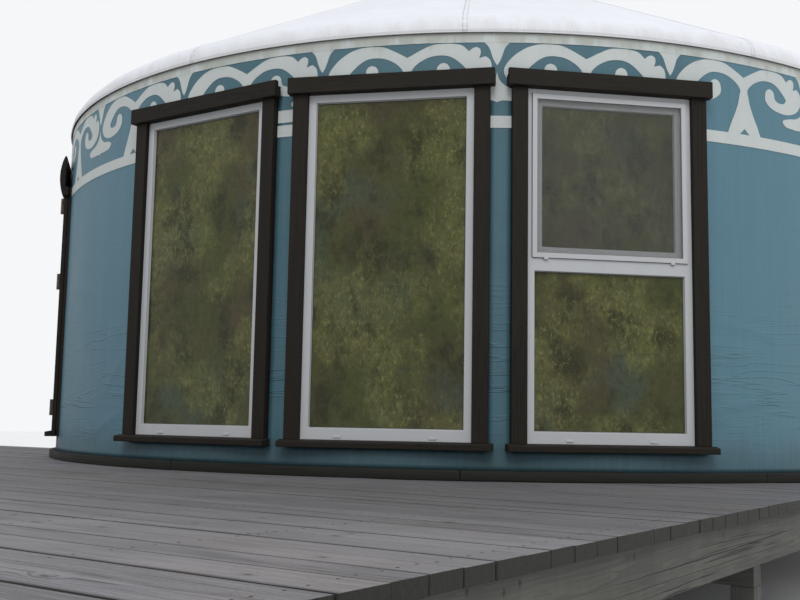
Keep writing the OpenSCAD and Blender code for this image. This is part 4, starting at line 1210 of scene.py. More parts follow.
class YURT_OT_deck(bpy.types.Operator):
    """Lays the deck's single boards, nails them, and finishes the timber under them."""

    bl_idname = "yurt.deck"
    bl_label = "Deck"

    # Joints of the terrace by row: how far off an even spread they lie, how wide in
    # millimetres they are before and after the butt joint, and that joint's joist
    SHIFTS = {1: -0.020, 2: -0.043, 3: -0.035, 4: -0.027}
    JOINTS = {
        1: (1, 1), 2: (9, 9), 3: (1, 1), 4: (8, 8),
        5: (3, 1), 6: (4, 4), 7: (4, 3), 8: (11, 5),
        9: (0.8, 0.8), 10: (4, 3), 11: (0.8, 0.8), 12: (6, 4),
        13: (2, 2), 14: (1, 1), 15: (5, 3), 16: (1, 1),
        17: (1, 1), 18: (3, 14), 24: (2, 6), 30: (2, 5),
    }
    BUTTS = {8: 4, 18: 3}
    # Joists by their number from the yurt's middle, all of them and those for other joints
    JOISTS, BUTT_JOISTS = range(-8, 6), range(-5, 3)
    # Half the joint where two lengths meet, and how far nails keep from ends and sides
    HALF_BUTT, NAIL_END, NAIL_SIDE = 0.0015, 0.012, 0.024

    def execute(self, context):
        chance, nails = random.Random(11), []
        self.lay(chance, nails, "terrace", DECK_FRONT, DECK_BACK, [])
        self.lay(chance, nails, "platform", DECK_BACK, DECK_END, directions(*range(30, 240, 30)))
        look = {"finished": "nail_steel", "slot": "deck_boards"}
        set_on_points("deck_nails", nails, (4.5, 4.5, 0.9), **look, spread=0.12, rings=4, segments=6)
        dress("rough_post", 0.004, "posts")
        dress("rough_beam", 0.003, "beams")
        dress("rough_joist", 0.002, "joists")
        dress("rough_rim", 0.0025, "rim_boards")
        return {"FINISHED"}

    def lay(self, chance, nails, name, start, end, cuts):
        """Rows of boards along X, each in two lengths that meet on a joist."""
        rows, usual_gap = round((end - start) / sizes().board_pitch), sizes().board_gap
        pitch, terrace = (end - start) / rows, name == "terrace"
        lines, gaps, boards = [], [], []
        for row in range(rows + 1):
            shift = self.SHIFTS.get(row, chance.uniform(-0.0012, 0.0012)) if terrace else 0.0
            lines.append(start + row * pitch + (shift if 0 < row < rows else 0.0))
            gap = (usual_gap * chance.choice((0.2, 0.25, 0.4, 0.7, 1.0)),) * 2
            if terrace and row in self.JOINTS:
                gap = [width / 1000 for width in self.JOINTS[row]]
            gaps.append(gap if 0 < row < rows else (0.5 * usual_gap,) * 2)
        for row in range(rows):
            butt = JOIST_PITCH * chance.choice(self.BUTT_JOISTS)
            if terrace and row in self.BUTTS:
                butt = JOIST_PITCH * self.BUTTS[row]
            for part, (first, last) in enumerate(((DECK_FAR, butt), (butt, DECK_END))):
                below, above = gaps[row][part], gaps[row + 1][part]
                low, high = lines[row] + 0.5 * below, lines[row + 1] - 0.5 * above
                left = first + (self.HALF_BUTT if first == butt else 0.0)
                right = last - (self.HALF_BUTT if last == butt else chance.uniform(0.0, 0.002))
                shape = [(left, low), (right, low), (right, high), (left, high)]
                for nx, ny in cuts:
                    if shape:
                        shape = clip(shape, nx, ny, DECK_END - chance.uniform(0.0, 0.003))
                if len(shape) > 2:
                    tone, drop = chance.random(), chance.uniform(0.0, 0.0022)
                    joints = [min(1.0, gap / 0.006) for gap in (below, above)]
                    boards.append((shape, tone, drop, joints))
                    ends = [x for x, _ in shape]
                    self.nail(nails, chance, min(ends), max(ends), (low, high), DECK_TOP - drop)
        made, node = "deck_boards_" + name, name + "_deck"
        lay_boards(made, boards, node, "deck_boards", DECK_TOP, BOARD_T, width_axis=1, ease=0.004)

    def nail(self, nails, chance, left, right, sides, top):
        """Two nails a joist, a little off the line."""
        for joist in self.JOISTS:
            if left - 0.02 < joist * JOIST_PITCH < right + 0.02:
                x = min(max(joist * JOIST_PITCH, left + self.NAIL_END), right - self.NAIL_END)
                for y in (sides[0] + self.NAIL_SIDE, sides[1] - self.NAIL_SIDE):
                    off = chance.uniform(-0.007, 0.007), chance.uniform(-0.004, 0.004)
                    place = (x + off[0], y + off[1], top + 0.0001)
                    nails.append((place, (0.0, 0.0, 1.0), (1.0, 0.0, 0.0)))


class YURT_OT_base(bpy.types.Operator):
    """Finishes the curb, and lays the floor's boards inside it."""

    bl_idname = "yurt.base"
    bl_label = "Curb and floor"

    # Reach of the floor from the middle, the joint between its boards, and how far they stay
    # off the deck
    REACH, JOINT, CLEAR = 2.9215, 0.0012, 0.0005

    def execute(self, context):
        dress("stained_curb", 0.004, "curb_ring")
        chance, boards, reach = random.Random(5), [], self.REACH
        rows = round(2 * reach / sizes().floor_board)
        width = 2 * reach / rows
        for row in range(rows):
            left, right = -reach + row * width, -reach + (row + 1) * width - self.JOINT
            shape = [(left, -reach), (right, -reach), (right, reach), (left, reach)]
            joint = chance.uniform(-1.6, 1.6)
            for sign in (-1, 1):
                half = clip(shape, 0.0, sign, sign * joint - 0.5 * self.JOINT)
                for nx, ny in directions(*range(0, 360, 5)):
                    if half:
                        half = clip(half, nx, ny, reach)
                if len(half) > 2:
                    boards.append((half, chance.random(), chance.uniform(0.0, 0.0006), (1.0, 1.0)))
        shape = {"top": FLOOR_TOP, "thickness": FLOOR_TOP - DECK_TOP - self.CLEAR}
        lay_boards("floor_boards", boards, "floor", "floor_boards", **shape, width_axis=0, ease=0.0016)
        return {"FINISHED"}


class YURT_OT_wall(bpy.types.Operator):
    """Hangs the wall's canvas in three lengths, with its felt lining inside."""

    bl_idname = "yurt.wall"
    bl_label = "Wall canvas"

    # Each length: its laps, which of its ends lies on top, and the nodes it takes the place of
    WINDOWS = ("wall_window_1", "wall_window_2", "wall_window_3", "wall_at_door", "wall_by_door")
    LENGTHS = {
        "front": (LAPS[0], LAPS[1], (True, True), WINDOWS),
        "right": (LAPS[1], LAPS[2], (False, True), ("wall_right", "wall_rear")),
        "left": (LAPS[2], LAPS[0] + TURN, (False, False), ("wall_left",)),
    }
    FOOT, HEAD, LAP = CURB_TOP + 0.0004, EAVE_Z - 0.0006, LAP_W / WALL_R
    # Turn from an end to its hem, insets of a lap's two rows of stitches, where these stop
    # above the foot and below the head, and their pitch
    HEM, SEWN, SEWN_STOP, SEWN_PITCH = 0.004, (0.008, 0.020), 0.012, 0.011
    FELT_CELL = 0.07

    def execute(self, context):
        stitches = []
        for name, (first, last, on_top, nodes) in self.LENGTHS.items():
            cell = sizes().cell if name == "front" else sizes().cell_back
            ends = first - self.LAP, last + self.LAP
            tops = [end for end, top in zip(ends, on_top) if top]

            def place(azimuth, z):
                lifted = any(abs(azimuth - end) < 3 * self.LAP for end in tops)
                rise = wall_skin(azimuth, z) + (lap_lift(azimuth) if lifted else 0.0)
                return on_wall(azimuth, WALL_R + rise, z), (WALL_R * azimuth, z)

            cuts = [*CUT_TURNS, ends[0] + self.HEM, ends[1] - self.HEM]
            columns, rows = self.cells(ends, cuts, cell)
            cloth = grid_sheet("wall_canvas_" + name, columns, rows, place, "wall_canvas")
            area = hang(cloth, sizes().canvas_t, "wall_canvas", *nodes)
            flat = (WALL_R * (ends[1] - ends[0]), self.HEAD - self.FOOT)
            CACHE["cloth_" + name] = (cloth, flat, min(area, flat[0] * flat[1]))
            for end in tops:
                for inset in self.SEWN:
                    self.stitch(stitches, end + (inset if end == ends[0] else -inset) / WALL_R)
        CACHE["stitches"] = stitch_rows("wall_lap_stitches", stitches, (3.5, 0.8, 0.7), "wall_canvas")
        self.line(WALL_R - WALL_T + 0.0006)
        return {"FINISHED"}

    def cells(self, ends, cuts, cell):
        return breaks(*ends, cuts, cell / WALL_R), breaks(self.FOOT, self.HEAD, CUT_HEIGHTS, cell)

    def stitch(self, stitches, azimuth):
        """One upright row of stitches on the upper length's edge."""
        for z in paces(self.FOOT + self.SEWN_STOP, self.HEAD - self.SEWN_STOP, self.SEWN_PITCH):
            if not in_openings(azimuth, z):
                place = on_wall(azimuth, WALL_R + wall_skin(azimuth, z) + lap_lift(azimuth), z)
                stitches.append((place, on_wall(azimuth, 1.0, 0.0), (0.0, 0.0, 1.0)))

    def line(self, inner):
        """The felt lining, in two lengths that meet at the door and behind."""

        def place(azimuth, z):
            soft = 0.5 + 0.5 * noise.noise(on_wall(azimuth, 4.0, 2.0 * z))
            return on_wall(azimuth, inner + 0.004 * soft, z), (inner * azimuth, z)

        for name, first in (("near", DOOR_AZ), ("far", DOOR_AZ + pi)):
            ends = first + 0.0004, first + pi - 0.0004
            columns, rows = self.cells(ends, CUT_TURNS, self.FELT_CELL)
            felt = grid_sheet("wall_felt_" + name, columns, rows, place, "felt_lining", inside=True)
            area = hang(felt, sizes().felt_t, "wall_canvas")
            flat = (inner * (ends[1] - ends[0]), self.HEAD - self.FOOT)
            area = min(area, flat[0] * flat[1])


# A pair of horns from its top middle, in millimetres beside the pair's middle and below the
# eave: its brow, its outer edge on the left, and the curl with half of the notched stem
BROW = ((0, 123), (0, 123), (-40, 100), (-70, 84), (-124, 60), (-181, 54), (-240, 56))
PLAIN_EDGE = ((-280, 66), (-316, 81), (-368, 118), (-410, 168), (-418, 208), (-386, 252))
CURL = (
    (-320, 276), (-250, 275), (-190, 258), (-153, 226), (-149, 198), (-153, 175),
    (-166, 160), (-185, 154), (-203, 161), (-214, 176), (-216, 192), (-222, 209),
    (-250, 222), (-292, 218), (-306, 200), (-288, 176), (-240, 135), (-190, 116),
    (-120, 121), (-60, 150), (-24, 188), (-28, 215), (-38, 262), (-60, 320),
    (-88, 380), (-110, 434), (-110, 434), (-38, 434), (-38, 434), (0, 399), (0, 399),
)
# The outer edge on the right, with its leaf and its thorn
LEAFY_EDGE = (
    (-281, 67), (-311, 96), (-311, 96), (-332, 78), (-351, 73), (-368, 83), (-371, 104),
    (-362, 132), (-362, 132), (-394, 122), (-394, 122), (-417, 140), (-426, 176),
    (-420, 212), (-386, 252),
)
# Halves of the bud and of the hanging funnel between two pairs
BUD = (
    (0, 205), (0, 205), (10, 240), (30, 265), (70, 288), (130, 298), (176, 316),
    (152, 344), (100, 350), (60, 352), (28, 350), (0, 360),
)
FUNNEL = ((68, 46), (68, 46), (46, 68), (34, 92), (26, 118), (14, 148), (0, 170), (0, 170))


class YURT_OT_frieze(bpy.types.Operator):
    """Sews the pale border, horns, buds and stripes onto the wall's canvas."""

    bl_idname = "yurt.frieze"
    bl_label = "Frieze"

    UPPER_STRIPE = (radians(11.26), radians(13.19), 0.350, 0.416)
    # Width and height of a strip's cells, thickness of the pieces, and how far motifs and
    # strips lie off the canvas
    CELL_W, CELL_H, THICK, MOTIF_LIFT, STRIP_LIFT = 0.030, 0.022, 0.0011, 0.0016, 0.0024

    def execute(self, context):
        pair = smooth_outline(BROW + PLAIN_EDGE + CURL, BROW + LEAFY_EDGE + CURL)
        pieces = [
            self.motif("frieze_horns", pair, 0.0),
            self.motif("frieze_buds", smooth_outline(BUD), 0.5),
            self.motif("frieze_funnels", smooth_outline(FUNNEL), 0.5),
            self.strip("frieze_border", -pi, pi, 0.0006, sizes().border_h),
            self.strip("frieze_stripe", -pi, pi, sizes().stripe_top, sizes().stripe_foot),
            self.strip("frieze_upper_stripe", *self.UPPER_STRIPE),
            CACHE["stitches"],
        ]
        for name in YURT_OT_wall.LENGTHS:
            cloth, flat, area = CACHE["cloth_" + name]
        return {"FINISHED"}

    def motif(self, name, outline, shift):
        """One motif repeated round the wall and cut away at the openings."""
        verts, faces = flat_piece(outline)
        count = sizes().motifs
        turns = [sizes().motif_az + (k - count // 2 + shift) * TURN / count for k in range(count)]
        places = [(x + WALL_R * turn, y, 0.0) for turn in turns for x, y in verts]
        sides = [[k * len(verts) + i for i in face] for k in range(count) for face in faces]
        obj = add_mesh(name, places, sides, "frieze_canvas", smooth=True)
        with editing(obj.data) as shape:
            for at in (WALL_R * turn for turn in CUT_TURNS):
                if min(v.co.x for v in shape.verts) < at < max(v.co.x for v in shape.verts):
                    slice_at(shape, 0, at)
            for height in (CUT_HEAD, DOOR_CUT_HEAD):
                slice_at(shape, 1, height)
            middles = [(face, face.calc_center_median()) for face in shape.faces]
            gone = [face for face, middle in middles if in_openings(middle.x / WALL_R, middle.y)]
            bmesh.ops.delete(shape, geom=gone, context="FACES")
        return self.wrap(obj, self.MOTIF_LIFT)

    def strip(self, name, first, last, top, foot):
        """A level strip with a ragged foot, in cells that follow the canvas under it."""

        def place(azimuth, z):
            x = WALL_R * azimuth
            ragged = 0.0012 * noise.noise(Vector((x * 60.0, z * 3.0, 0.0)))
            return Vector((x, z + (ragged if z < EAVE_Z - foot + 1e-6 else 0.0), 0.0)), (x, z)

        columns = breaks(first, last, CUT_TURNS, self.CELL_W / WALL_R)
        rows = breaks(EAVE_Z - foot, EAVE_Z - top, CUT_HEIGHTS, self.CELL_H)
        return self.wrap(grid_sheet(name, columns, rows, place, "frieze_canvas"), self.STRIP_LIFT)

    def wrap(self, obj, lift):
        """Lays a flat piece onto the canvas, and gives it its thickness and sharp edges."""
        flat = [tuple(vertex.co[:2]) for vertex in obj.data.vertices]
        for vertex, (x, z) in zip(obj.data.vertices, flat):
            azimuth = x / WALL_R
            rise = wall_skin(azimuth, z) + lap_lift(azimuth) + lift
            vertex.co = on_wall(azimuth, WALL_R + rise, z)
        if "cloth" not in obj.data.uv_layers:
            cloth_uv(obj.data, flat)
        thicken(obj, self.THICK)
        mesh = evaluated(obj)
        obj.modifiers.clear()
        obj.data = mesh
        mesh.set_sharp_from_angle(angle=radians(35))
        return settle(obj, "wall_canvas")


class YURT_OT_roof(bpy.types.Operator):
    """Stretches the roof's canvas over the poles, with its seams, hem and lining."""

    bl_idname = "yurt.roof"
    bl_label = "Roof canvas"

    LINE = RoofLine(SHOULDER_R, CROWN_EDGE)
    # Width of the cover's gores laid side by side
    GIRTH = TURN * 1.9
    # Cells round the cover and its lining, and up the cover's shoulder, its slope, the lining
    # and a seam
    ROUND, FELT_ROUND, ARC_ROWS, SLOPE_ROWS, FELT_ROWS, SEAM_ROWS = 288, 144, 9, 34, 30, 60
    # A seam's half width, the inset and the pitch of its stitches, and the hem's cord and pitch
    SEAM_HALF, SEAM_SEWN, SEAM_PITCH, CORD_R, HEM_PITCH = 0.015, 0.010, 0.016, 0.0034, 0.018

    def execute(self, context):
        arc, reach = self.LINE.arc, self.LINE.length
        rows = [arc * k / self.ARC_ROWS for k in range(self.ARC_ROWS)]
        rows += [arc + (reach - arc) * k / self.SLOPE_ROWS for k in range(self.SLOPE_ROWS + 1)]
        turns = around(self.ROUND)

        def over(azimuth, t):
            return self.skin(azimuth, t)[0], (azimuth * 2.0, t)

        cover = grid_sheet("roof_canvas_cover", turns, rows, over, "roof_canvas", closed=True)
        area = hang(cover, sizes().canvas_t, "roof_canvas", "roof_cover")
        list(self.seams(reach))
        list(self.hem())
        self.lining(RoofLine(LINING_R + 0.0006, CROWN_EDGE))
        return {"FINISHED"}

    def skin(self, azimuth, t, lift=0.0):
        """A place on the canvas, its facing, and its way up the roof."""
        return self.LINE.at(azimuth, t, roof_skin(azimuth, t) + lift)

    def seams(self, reach):
        """A flat seam between two gores, with two rows of stitches."""
        verts, faces, flat, stitches = [], [], [], []
        for middle in around(GORES):
            side = on_wall(middle + pi / 2, 1.0, 0.0)
            for row in range(self.SEAM_ROWS + 1):
                t, first = reach * row / self.SEAM_ROWS, len(verts)
                if row:
                    faces += [(a - 3, a - 2, a + 1, a) for a in (first, first + 1)]
                point = self.skin(middle, t, 0.0013)[0]
                for s in (-self.SEAM_HALF, 0.0, self.SEAM_HALF):
                    verts.append(point + side * s)
                    flat.append((s, t))
            for t in paces(0.02, reach - 0.12, self.SEAM_PITCH):
                point, *ways = self.skin(middle, t, 0.0015)
                stitches += [(point + side * s, *ways) for s in (-self.SEAM_SEWN, self.SEAM_SEWN)]
        band = add_mesh("roof_seam_bands", verts, faces, "roof_canvas", smooth=True)
        cloth_uv(band.data, flat)
        hang(band, 0.0012, "roof_canvas")
        return band, stitch_rows("roof_seam_stitches", stitches, (4.5, 0.9, 0.8), "roof_canvas")

    def hem(self):
        """The rolled edge with a cord in it, and its row of stitches."""
        edge = self.LINE.profile(0.0)[0] - 0.0022
        ring = [on_wall(a, edge + roof_skin(a, 0.0), EAVE_Z + self.CORD_R) for a in around(360)]
        roll = sweep_ring("roof_hem_cord", ring, self.CORD_R)
        stitches = []
        for azimuth in around(int(TURN * 3.04 / self.HEM_PITCH)):
            place, facing, _ = self.skin(azimuth, 0.016)
            stitches.append((place, facing, on_wall(azimuth + pi / 2, 1.0, 0.0)))
        return roll, stitch_rows("roof_hem_stitches", stitches, (5.5, 1.0, 0.9), "roof_canvas")

    def lining(self, line):
        """The felt over the poles, as it shows from inside."""

        def under(azimuth, t):
            soft = 0.002 * (0.5 + 0.5 * noise.noise(on_wall(azimuth, 3.0, 2.0 * t)))
            return line.at(azimuth, t, soft)[0], (azimuth * 2.0, t)

        rows = [line.length * k / self.FELT_ROWS for k in range(self.FELT_ROWS + 1)]
        turns = around(self.FELT_ROUND)
        felt = grid_sheet("roof_felt_lining", turns, rows, under, "felt_lining", inside=True, closed=True)
        area = hang(felt, sizes().felt_t, "roof_canvas")


class YURT_OT_crown(bpy.types.Operator):
    """Lays the cap's canvas over the crown, and finishes the crown's timber."""

    bl_idname = "yurt.crown"
    bl_label = "Crown and cap"

    # How far the cap lies over the ring, at its edge and where it meets the roof
    RING_LIFT, EDGE_LIFT, ROOF_LIFT = 0.0123, 0.0125, 0.0128
    THICK, PLEATS, ROUND, DOME_ROWS, ROOF_ROWS, CORD_R = 0.0022, 16, 128, 16, 4, 0.004

    def execute(self, context):
        dress("crown_wood", 0.003, "crown_ring", "crown_bars")
        profile = self.profile(*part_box("crown_cap"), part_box("crown_ring")[1].z + self.RING_LIFT)
        last = len(profile) - 1

        def place(azimuth, row):
            r, z = profile[row]
            fold = 0.5 + 0.5 * cos(self.PLEATS * azimuth + 2.2 * noise.noise(on_wall(azimuth, 1.7, 0.0)))
            loose = max(0.0, min(1.0, (r - 0.45) / 0.35))
            fine = noise.noise(on_wall(azimuth, 5.0 * r, z * 4.0))
            fall = (0.0045 * fold * loose + 0.0016 * fine) * (0.35 if row > last - 4 else 1.0)
            return on_wall(azimuth, r, z - fall), (azimuth * 0.7, r)

        turns, rows = around(self.ROUND), range(last + 1)
        cap = grid_sheet("crown_cap_canvas", turns, rows, place, "roof_canvas", inside=True, closed=True)
        with editing(cap.data) as shape:
            middle = [v for v in shape.verts if hypot(v.co.x, v.co.y) < 0.01]
            centre = sum((v.co for v in middle), Vector()) / len(middle)
            bmesh.ops.pointmerge(shape, verts=middle, merge_co=centre)
            bmesh.ops.dissolve_degenerate(shape, dist=1e-6, edges=shape.edges[:])
        area = hang(cap, self.THICK, "roof_canvas", "crown_cap")
        edge = [place(azimuth, last)[0] + Vector((0, 0, -0.001)) for azimuth in around(192)]
        sweep_ring("crown_cap_cord", edge, self.CORD_R)
        return {"FINISHED"}

    def profile(self, low, high, start):
        """Radius and height from the cap's middle over the ring and out onto the roof."""
        foot_r = CROWN_R + 0.024
        roof = RoofLine(SHOULDER_R, foot_r)
        foot_z = roof.profile(roof.length)[1] + self.ROOF_LIFT
        wide, fall, dome = high.x - foot_r, low.z + self.EDGE_LIFT - foot_z, high.z - start
        profile = []
        for k in range(self.DOME_ROWS):
            rise = dome * cos(pi / 2 * k / self.DOME_ROWS)
            profile.append((max(0.0015, CROWN_R * k / self.DOME_ROWS), start + rise))
        profile += [(CROWN_EDGE, start), (CROWN_R + 0.020, 0.5 * (start + foot_z))]
        profile.append((foot_r + 0.008, foot_z + 0.004))
        steps = range(1, self.ROOF_ROWS + 1)
        return profile + [(foot_r + wide * k / steps[-1], foot_z + fall * k / steps[-1]) for k in steps]


class YURT_OT_inside(bpy.types.Operator):
    """Finishes the lattice, studs, ring and poles, and ties the lattice's crossings."""

    bl_idname = "yurt.inside"
    bl_label = "Lattice and poles"

    # The lattice's slats as the frame has them, and the radii of its outer and inner side
    SLAT_ROWS, SLAT_W, SLAT_T, TAIL = 4, 0.030, 0.011, 0.028
    RING_Z, OUTER = 2.790, WALL_R - WALL_T - 0.0015
    INNER = OUTER - 2 * SLAT_T + 0.001
    # Where a stretch of lattice ends: half the door's and a window's opening, and the gap left
    DOOR_HALF, WINDOW_HALF, GAP = 0.524, 0.5058, radians(0.3)

    def execute(self, context):
        dress("pine_upright", 0.002, "wall_studs")
        dress("pine_upright", 0.0015, "lattice_by_door", "lattice_right", "lattice_rear", "lattice_left")
        dress("pine_level", 0.003, "eave_ring")
        dress("pine_pole", 0.003, "roof_poles")
        halves = self.DOOR_HALF, self.WINDOW_HALF
        door, window = (self.GAP + asin(half / self.INNER) for half in halves)
        # Each stretch: first and last azimuth, bays, and slats a bay
        stretches = (
            (DOOR_AZ + door, WINDOW_AZ[0] - window, 1, 3),
            (WINDOW_AZ[2] + window, TURN + DOOR_AZ - door, 8, 4),
        )
        ties = []
        for start, end, bays, slats in stretches:
            for bay in range(bays):
                self.tie_bay(ties, start + (end - start) * bay / bays, (end - start) / bays, slats)
        look = {"finished": "hide_tie", "slot": "pale_timber", "seed": 3}
        set_on_points("lattice_ties", ties, (7.5, 6.0, 4.2), **look, spread=0.15, rings=5, segments=8)
        return {"FINISHED"}

    def tie_bay(self, ties, start, turn, slats):
        """A knot at every crossing of one bay."""
        row_h = (self.RING_Z - CURB_TOP) / self.SLAT_ROWS
        slope = atan2(row_h, turn / slats * self.OUTER)
        end = self.SLAT_W / 2 / sin(slope) + self.TAIL * cos(slope)
        reach = asin(end / self.INNER)
        step = (turn - 2 * reach) / slats
        for row in range(1, 2 * self.SLAT_ROWS):
            radius = self.INNER * cos(step / 2) if row % 2 else self.INNER
            for column in range(row % 2, 2 * slats + 1, 2):
                azimuth = start + reach + 0.5 * column * step
                place = on_wall(azimuth, radius - 0.0002, CURB_TOP + 0.5 * row * row_h)
                ties.append((place, on_wall(azimuth, -1.0, 0.0), (0.0, 0.0, 1.0)))


# Frames of the windows in their own place: outer box, lights and sash
FRAME_FOOT, FRAME_HEAD = 0.779, 2.543
SIDE, FOOT = 0.041, 0.058
TRANSOM_FOOT, TRANSOM_HEAD = 1.6225, 1.7025
LIGHT_X, LIGHT_FOOT, LIGHT_HEAD = HALF_FRAME - SIDE, FRAME_FOOT + FOOT, FRAME_HEAD - SIDE


class YURT_OT_windows(bpy.types.Operator):
    """Finishes the windows: trim, frames, beads, gaskets, glass, screen and small parts."""

    bl_idname = "yurt.windows"
    bl_label = "Windows"

    # Each window's panes: half width, foot, head and where the glass lies
    WHOLE = (LIGHT_X, LIGHT_FOOT, LIGHT_HEAD, FRAME_PLANE - 0.018)
    LOWER = (LIGHT_X, LIGHT_FOOT, TRANSOM_FOOT, FRAME_PLANE - 0.018)
    SASH = (LIGHT_X - SIDE, TRANSOM_HEAD + SIDE, LIGHT_HEAD - SIDE, FRAME_PLANE - 0.028)
    PANES = ((WHOLE,), (WHOLE,), (LOWER, SASH))
    # Each ring along the glass: its finish, its insets outside and inside, and its rise
    RINGS = {"beads": ("vinyl", 0.0002, 0.004, 0.0135), "gasket": ("rubber", 0.0038, 0.0062, 0.0028)}
    # Small parts: where they sit along X, then height, half width, half height and rise
    DRAINS, CLIPS = ((-0.24, 0.24), (-0.24, 0.24), (-0.213, 0.217)), (-0.335, 0.325)
    CAP, CLIP = (FRAME_FOOT + 0.016, 0.019, 0.0055, 0.0045), (1.6865, 0.011, 0.008, 0.0125)
    # Between these distances from the axis lies the screen's flat sheet
    MESH_DEPTHS = (3.0109, 3.0127)
    # Screws: beside a window's middle, the lowest one's height and their step, and along a
    # head board, their height and step
    CASING_X, CASING_FOOT, CASING_STEP, BOARD_Z, BOARD_STEP = 0.4715, 0.86, 0.405, 2.588, 0.3

    def execute(self, context):
        dress("stained_upright", 0.003, "window_casings", "window_linings")
        dress("stained_level", 0.004, "window_head_boards", "window_sills")
        dress("vinyl", 0.0022, "window_1_frame", "window_2_frame", "window_3_frame", "window_3_sash")
        dress("glass", 0.0, "window_glass")
        dress("vinyl", 0.0, "window_3_screen")
        self.mark_mesh(NODES["window_3_screen"].data)
        for number, panes in enumerate(self.PANES, 1):
            self.beads(number, panes)
            self.welds(number)
        self.screen_seal()
        for number, places in enumerate(self.DRAINS, 1):
            self.small_parts("window_%d_drain_caps" % number, number, places, *self.CAP)
        self.small_parts("window_3_screen_clips", 3, self.CLIPS, *self.CLIP)
        self.screws()
        return {"FINISHED"}

    def mark_mesh(self, mesh):
        """Gives the screen's flat sheet the mesh finish; its rim keeps the frame's."""
        mesh.materials.append(finish("mesh_screen"))
        outward = on_wall(WINDOW_AZ[2], 1.0, 0.0)
        for face in mesh.polygons:
            depths = [outward.dot(mesh.vertices[i].co) for i in face.vertices]
            if self.MESH_DEPTHS[0] < min(depths) and max(depths) < self.MESH_DEPTHS[1]:
                face.material_index = 1

    def beads(self, number, panes):
        """Glazing beads with a sloped face, and the dark gasket along the glass."""
        turn = at_azimuth(WINDOW_AZ[number - 1])
        for what, (finished, outer, inner, rise) in self.RINGS.items():
            verts, faces = [], []
            for x, z0, z1, glass_y in panes:
                first = len(verts)
                for inset, lift in ((outer, rise), (outer, 0.0003), (inner, 0.0003)):
                    for sx, z in ((-1, z0 + inset), (1, z0 + inset), (1, z1 - inset), (-1, z1 - inset)):
                        verts.append(turn @ Vector((sx * (x - inset), -glass_y - lift, z)))
                for i, j in ((0, 1), (1, 2), (2, 3), (3, 0)):
                    sides = ((i, j, 8 + j, 8 + i), (4 + j, 4 + i, 8 + i, 8 + j), (4 + i, 4 + j, j, i))
                    faces += [[first + corner for corner in side] for side in sides]
            obj = add_mesh("window_%d_%s" % (number, what), verts, faces, finished)
            bevel(obj, 0.0006, 1)
            settle(obj, "white_plastic")

    def welds(self, number):
        """A fine ridge across each corner of a frame, where its lengths are welded."""
        ridges = []
        for sign in (-1, 1):
            for outer, inner in ((FRAME_FOOT, LIGHT_FOOT), (FRAME_HEAD, LIGHT_HEAD)):
                start, end = Vector((sign * HALF_FRAME, 0, outer)), Vector((sign * LIGHT_X, 0, inner))
                run = (end - start).normalized()
                side = Vector((-run.z, 0, run.x)) * 0.0006
                start, end = start + run * 0.003, end - run * 0.003
                base = (start - side, end - side, end + side, start + side)
                fronts = (0.00095 - FRAME_PLANE, -0.00025 - FRAME_PLANE)
                ridges.append([point + Vector((0, y, 0)) for y in fronts for point in base])
        obj = add_boxes("window_%d_welds" % number, WINDOW_AZ[number - 1], ridges, "vinyl")
        with editing(obj.data) as shape:
            bmesh.ops.recalc_face_normals(shape, faces=shape.faces[:])
        settle(obj, "white_plastic")

    def screen_seal(self):
        """Dark rubber round the screen's rim: a seal, and painted shade for the shadow gap under the rim.
        """
        x, z0, z1 = LIGHT_X + 0.014, TRANSOM_HEAD - 0.014, LIGHT_HEAD + 0.014
        front, back, out, under = -FRAME_PLANE - 0.003, -FRAME_PLANE + 0.0003, 0.0018, 0.0015
        boxes = []
        for near, far in ((-x - out, under - x), (x - under, x + out)):
            boxes.append(box((near, front, z0 - out), (far, back, z1 + out)))
        for low, high in ((z0 - out, z0 + under), (z1 - under, z1 + out)):
            boxes.append(box((under - x, front, low), (x - under, back, high)))
        settle(add_boxes("window_3_screen_seal", WINDOW_AZ[2], boxes, "rubber"), "white_plastic")

    def small_parts(self, name, number, places, z, half, rise, out):
        """Drain caps on a frame's foot, or the clips under the screen."""
        front, back = -FRAME_PLANE - out, -FRAME_PLANE + 0.0004
        boxes = [box((x - half, front, z - rise), (x + half, back, z + rise)) for x in places]
        obj = add_boxes(name, WINDOW_AZ[number - 1], boxes, "vinyl")
        bevel(obj, 0.0016)
        settle(obj, "white_plastic")

    def screws(self):
        """Small screws under the stain that hold the casings and the head boards."""
        points = []
        for azimuth in WINDOW_AZ:
            heights = [self.CASING_FOOT + k * self.CASING_STEP for k in range(5)]
            places = [(s * self.CASING_X, -CASING_Y - 0.0001, z) for s in (-1, 1) for z in heights]
            places += [(self.BOARD_STEP * k - 0.45, -FRAME_PLANE - 0.0501, self.BOARD_Z) for k in range(4)]
            points += turned_points(azimuth, places)
        look = {"finished": "stained_upright", "slot": "dark_timber"}
        set_on_points("casing_screws", points, (4.2, 4.2, 1.0), **look, spread=0.05, rings=4, segments=10)


def turned_points(azimuth, places):
    """Places on an upright face at an azimuth, each with its facing and a level way."""
    turn = at_azimuth(azimuth)
    ways = turn @ Vector((0, -1, 0)), turn @ Vector((1, 0, 0))
    return [(turn @ Vector(place), *ways) for place in places]


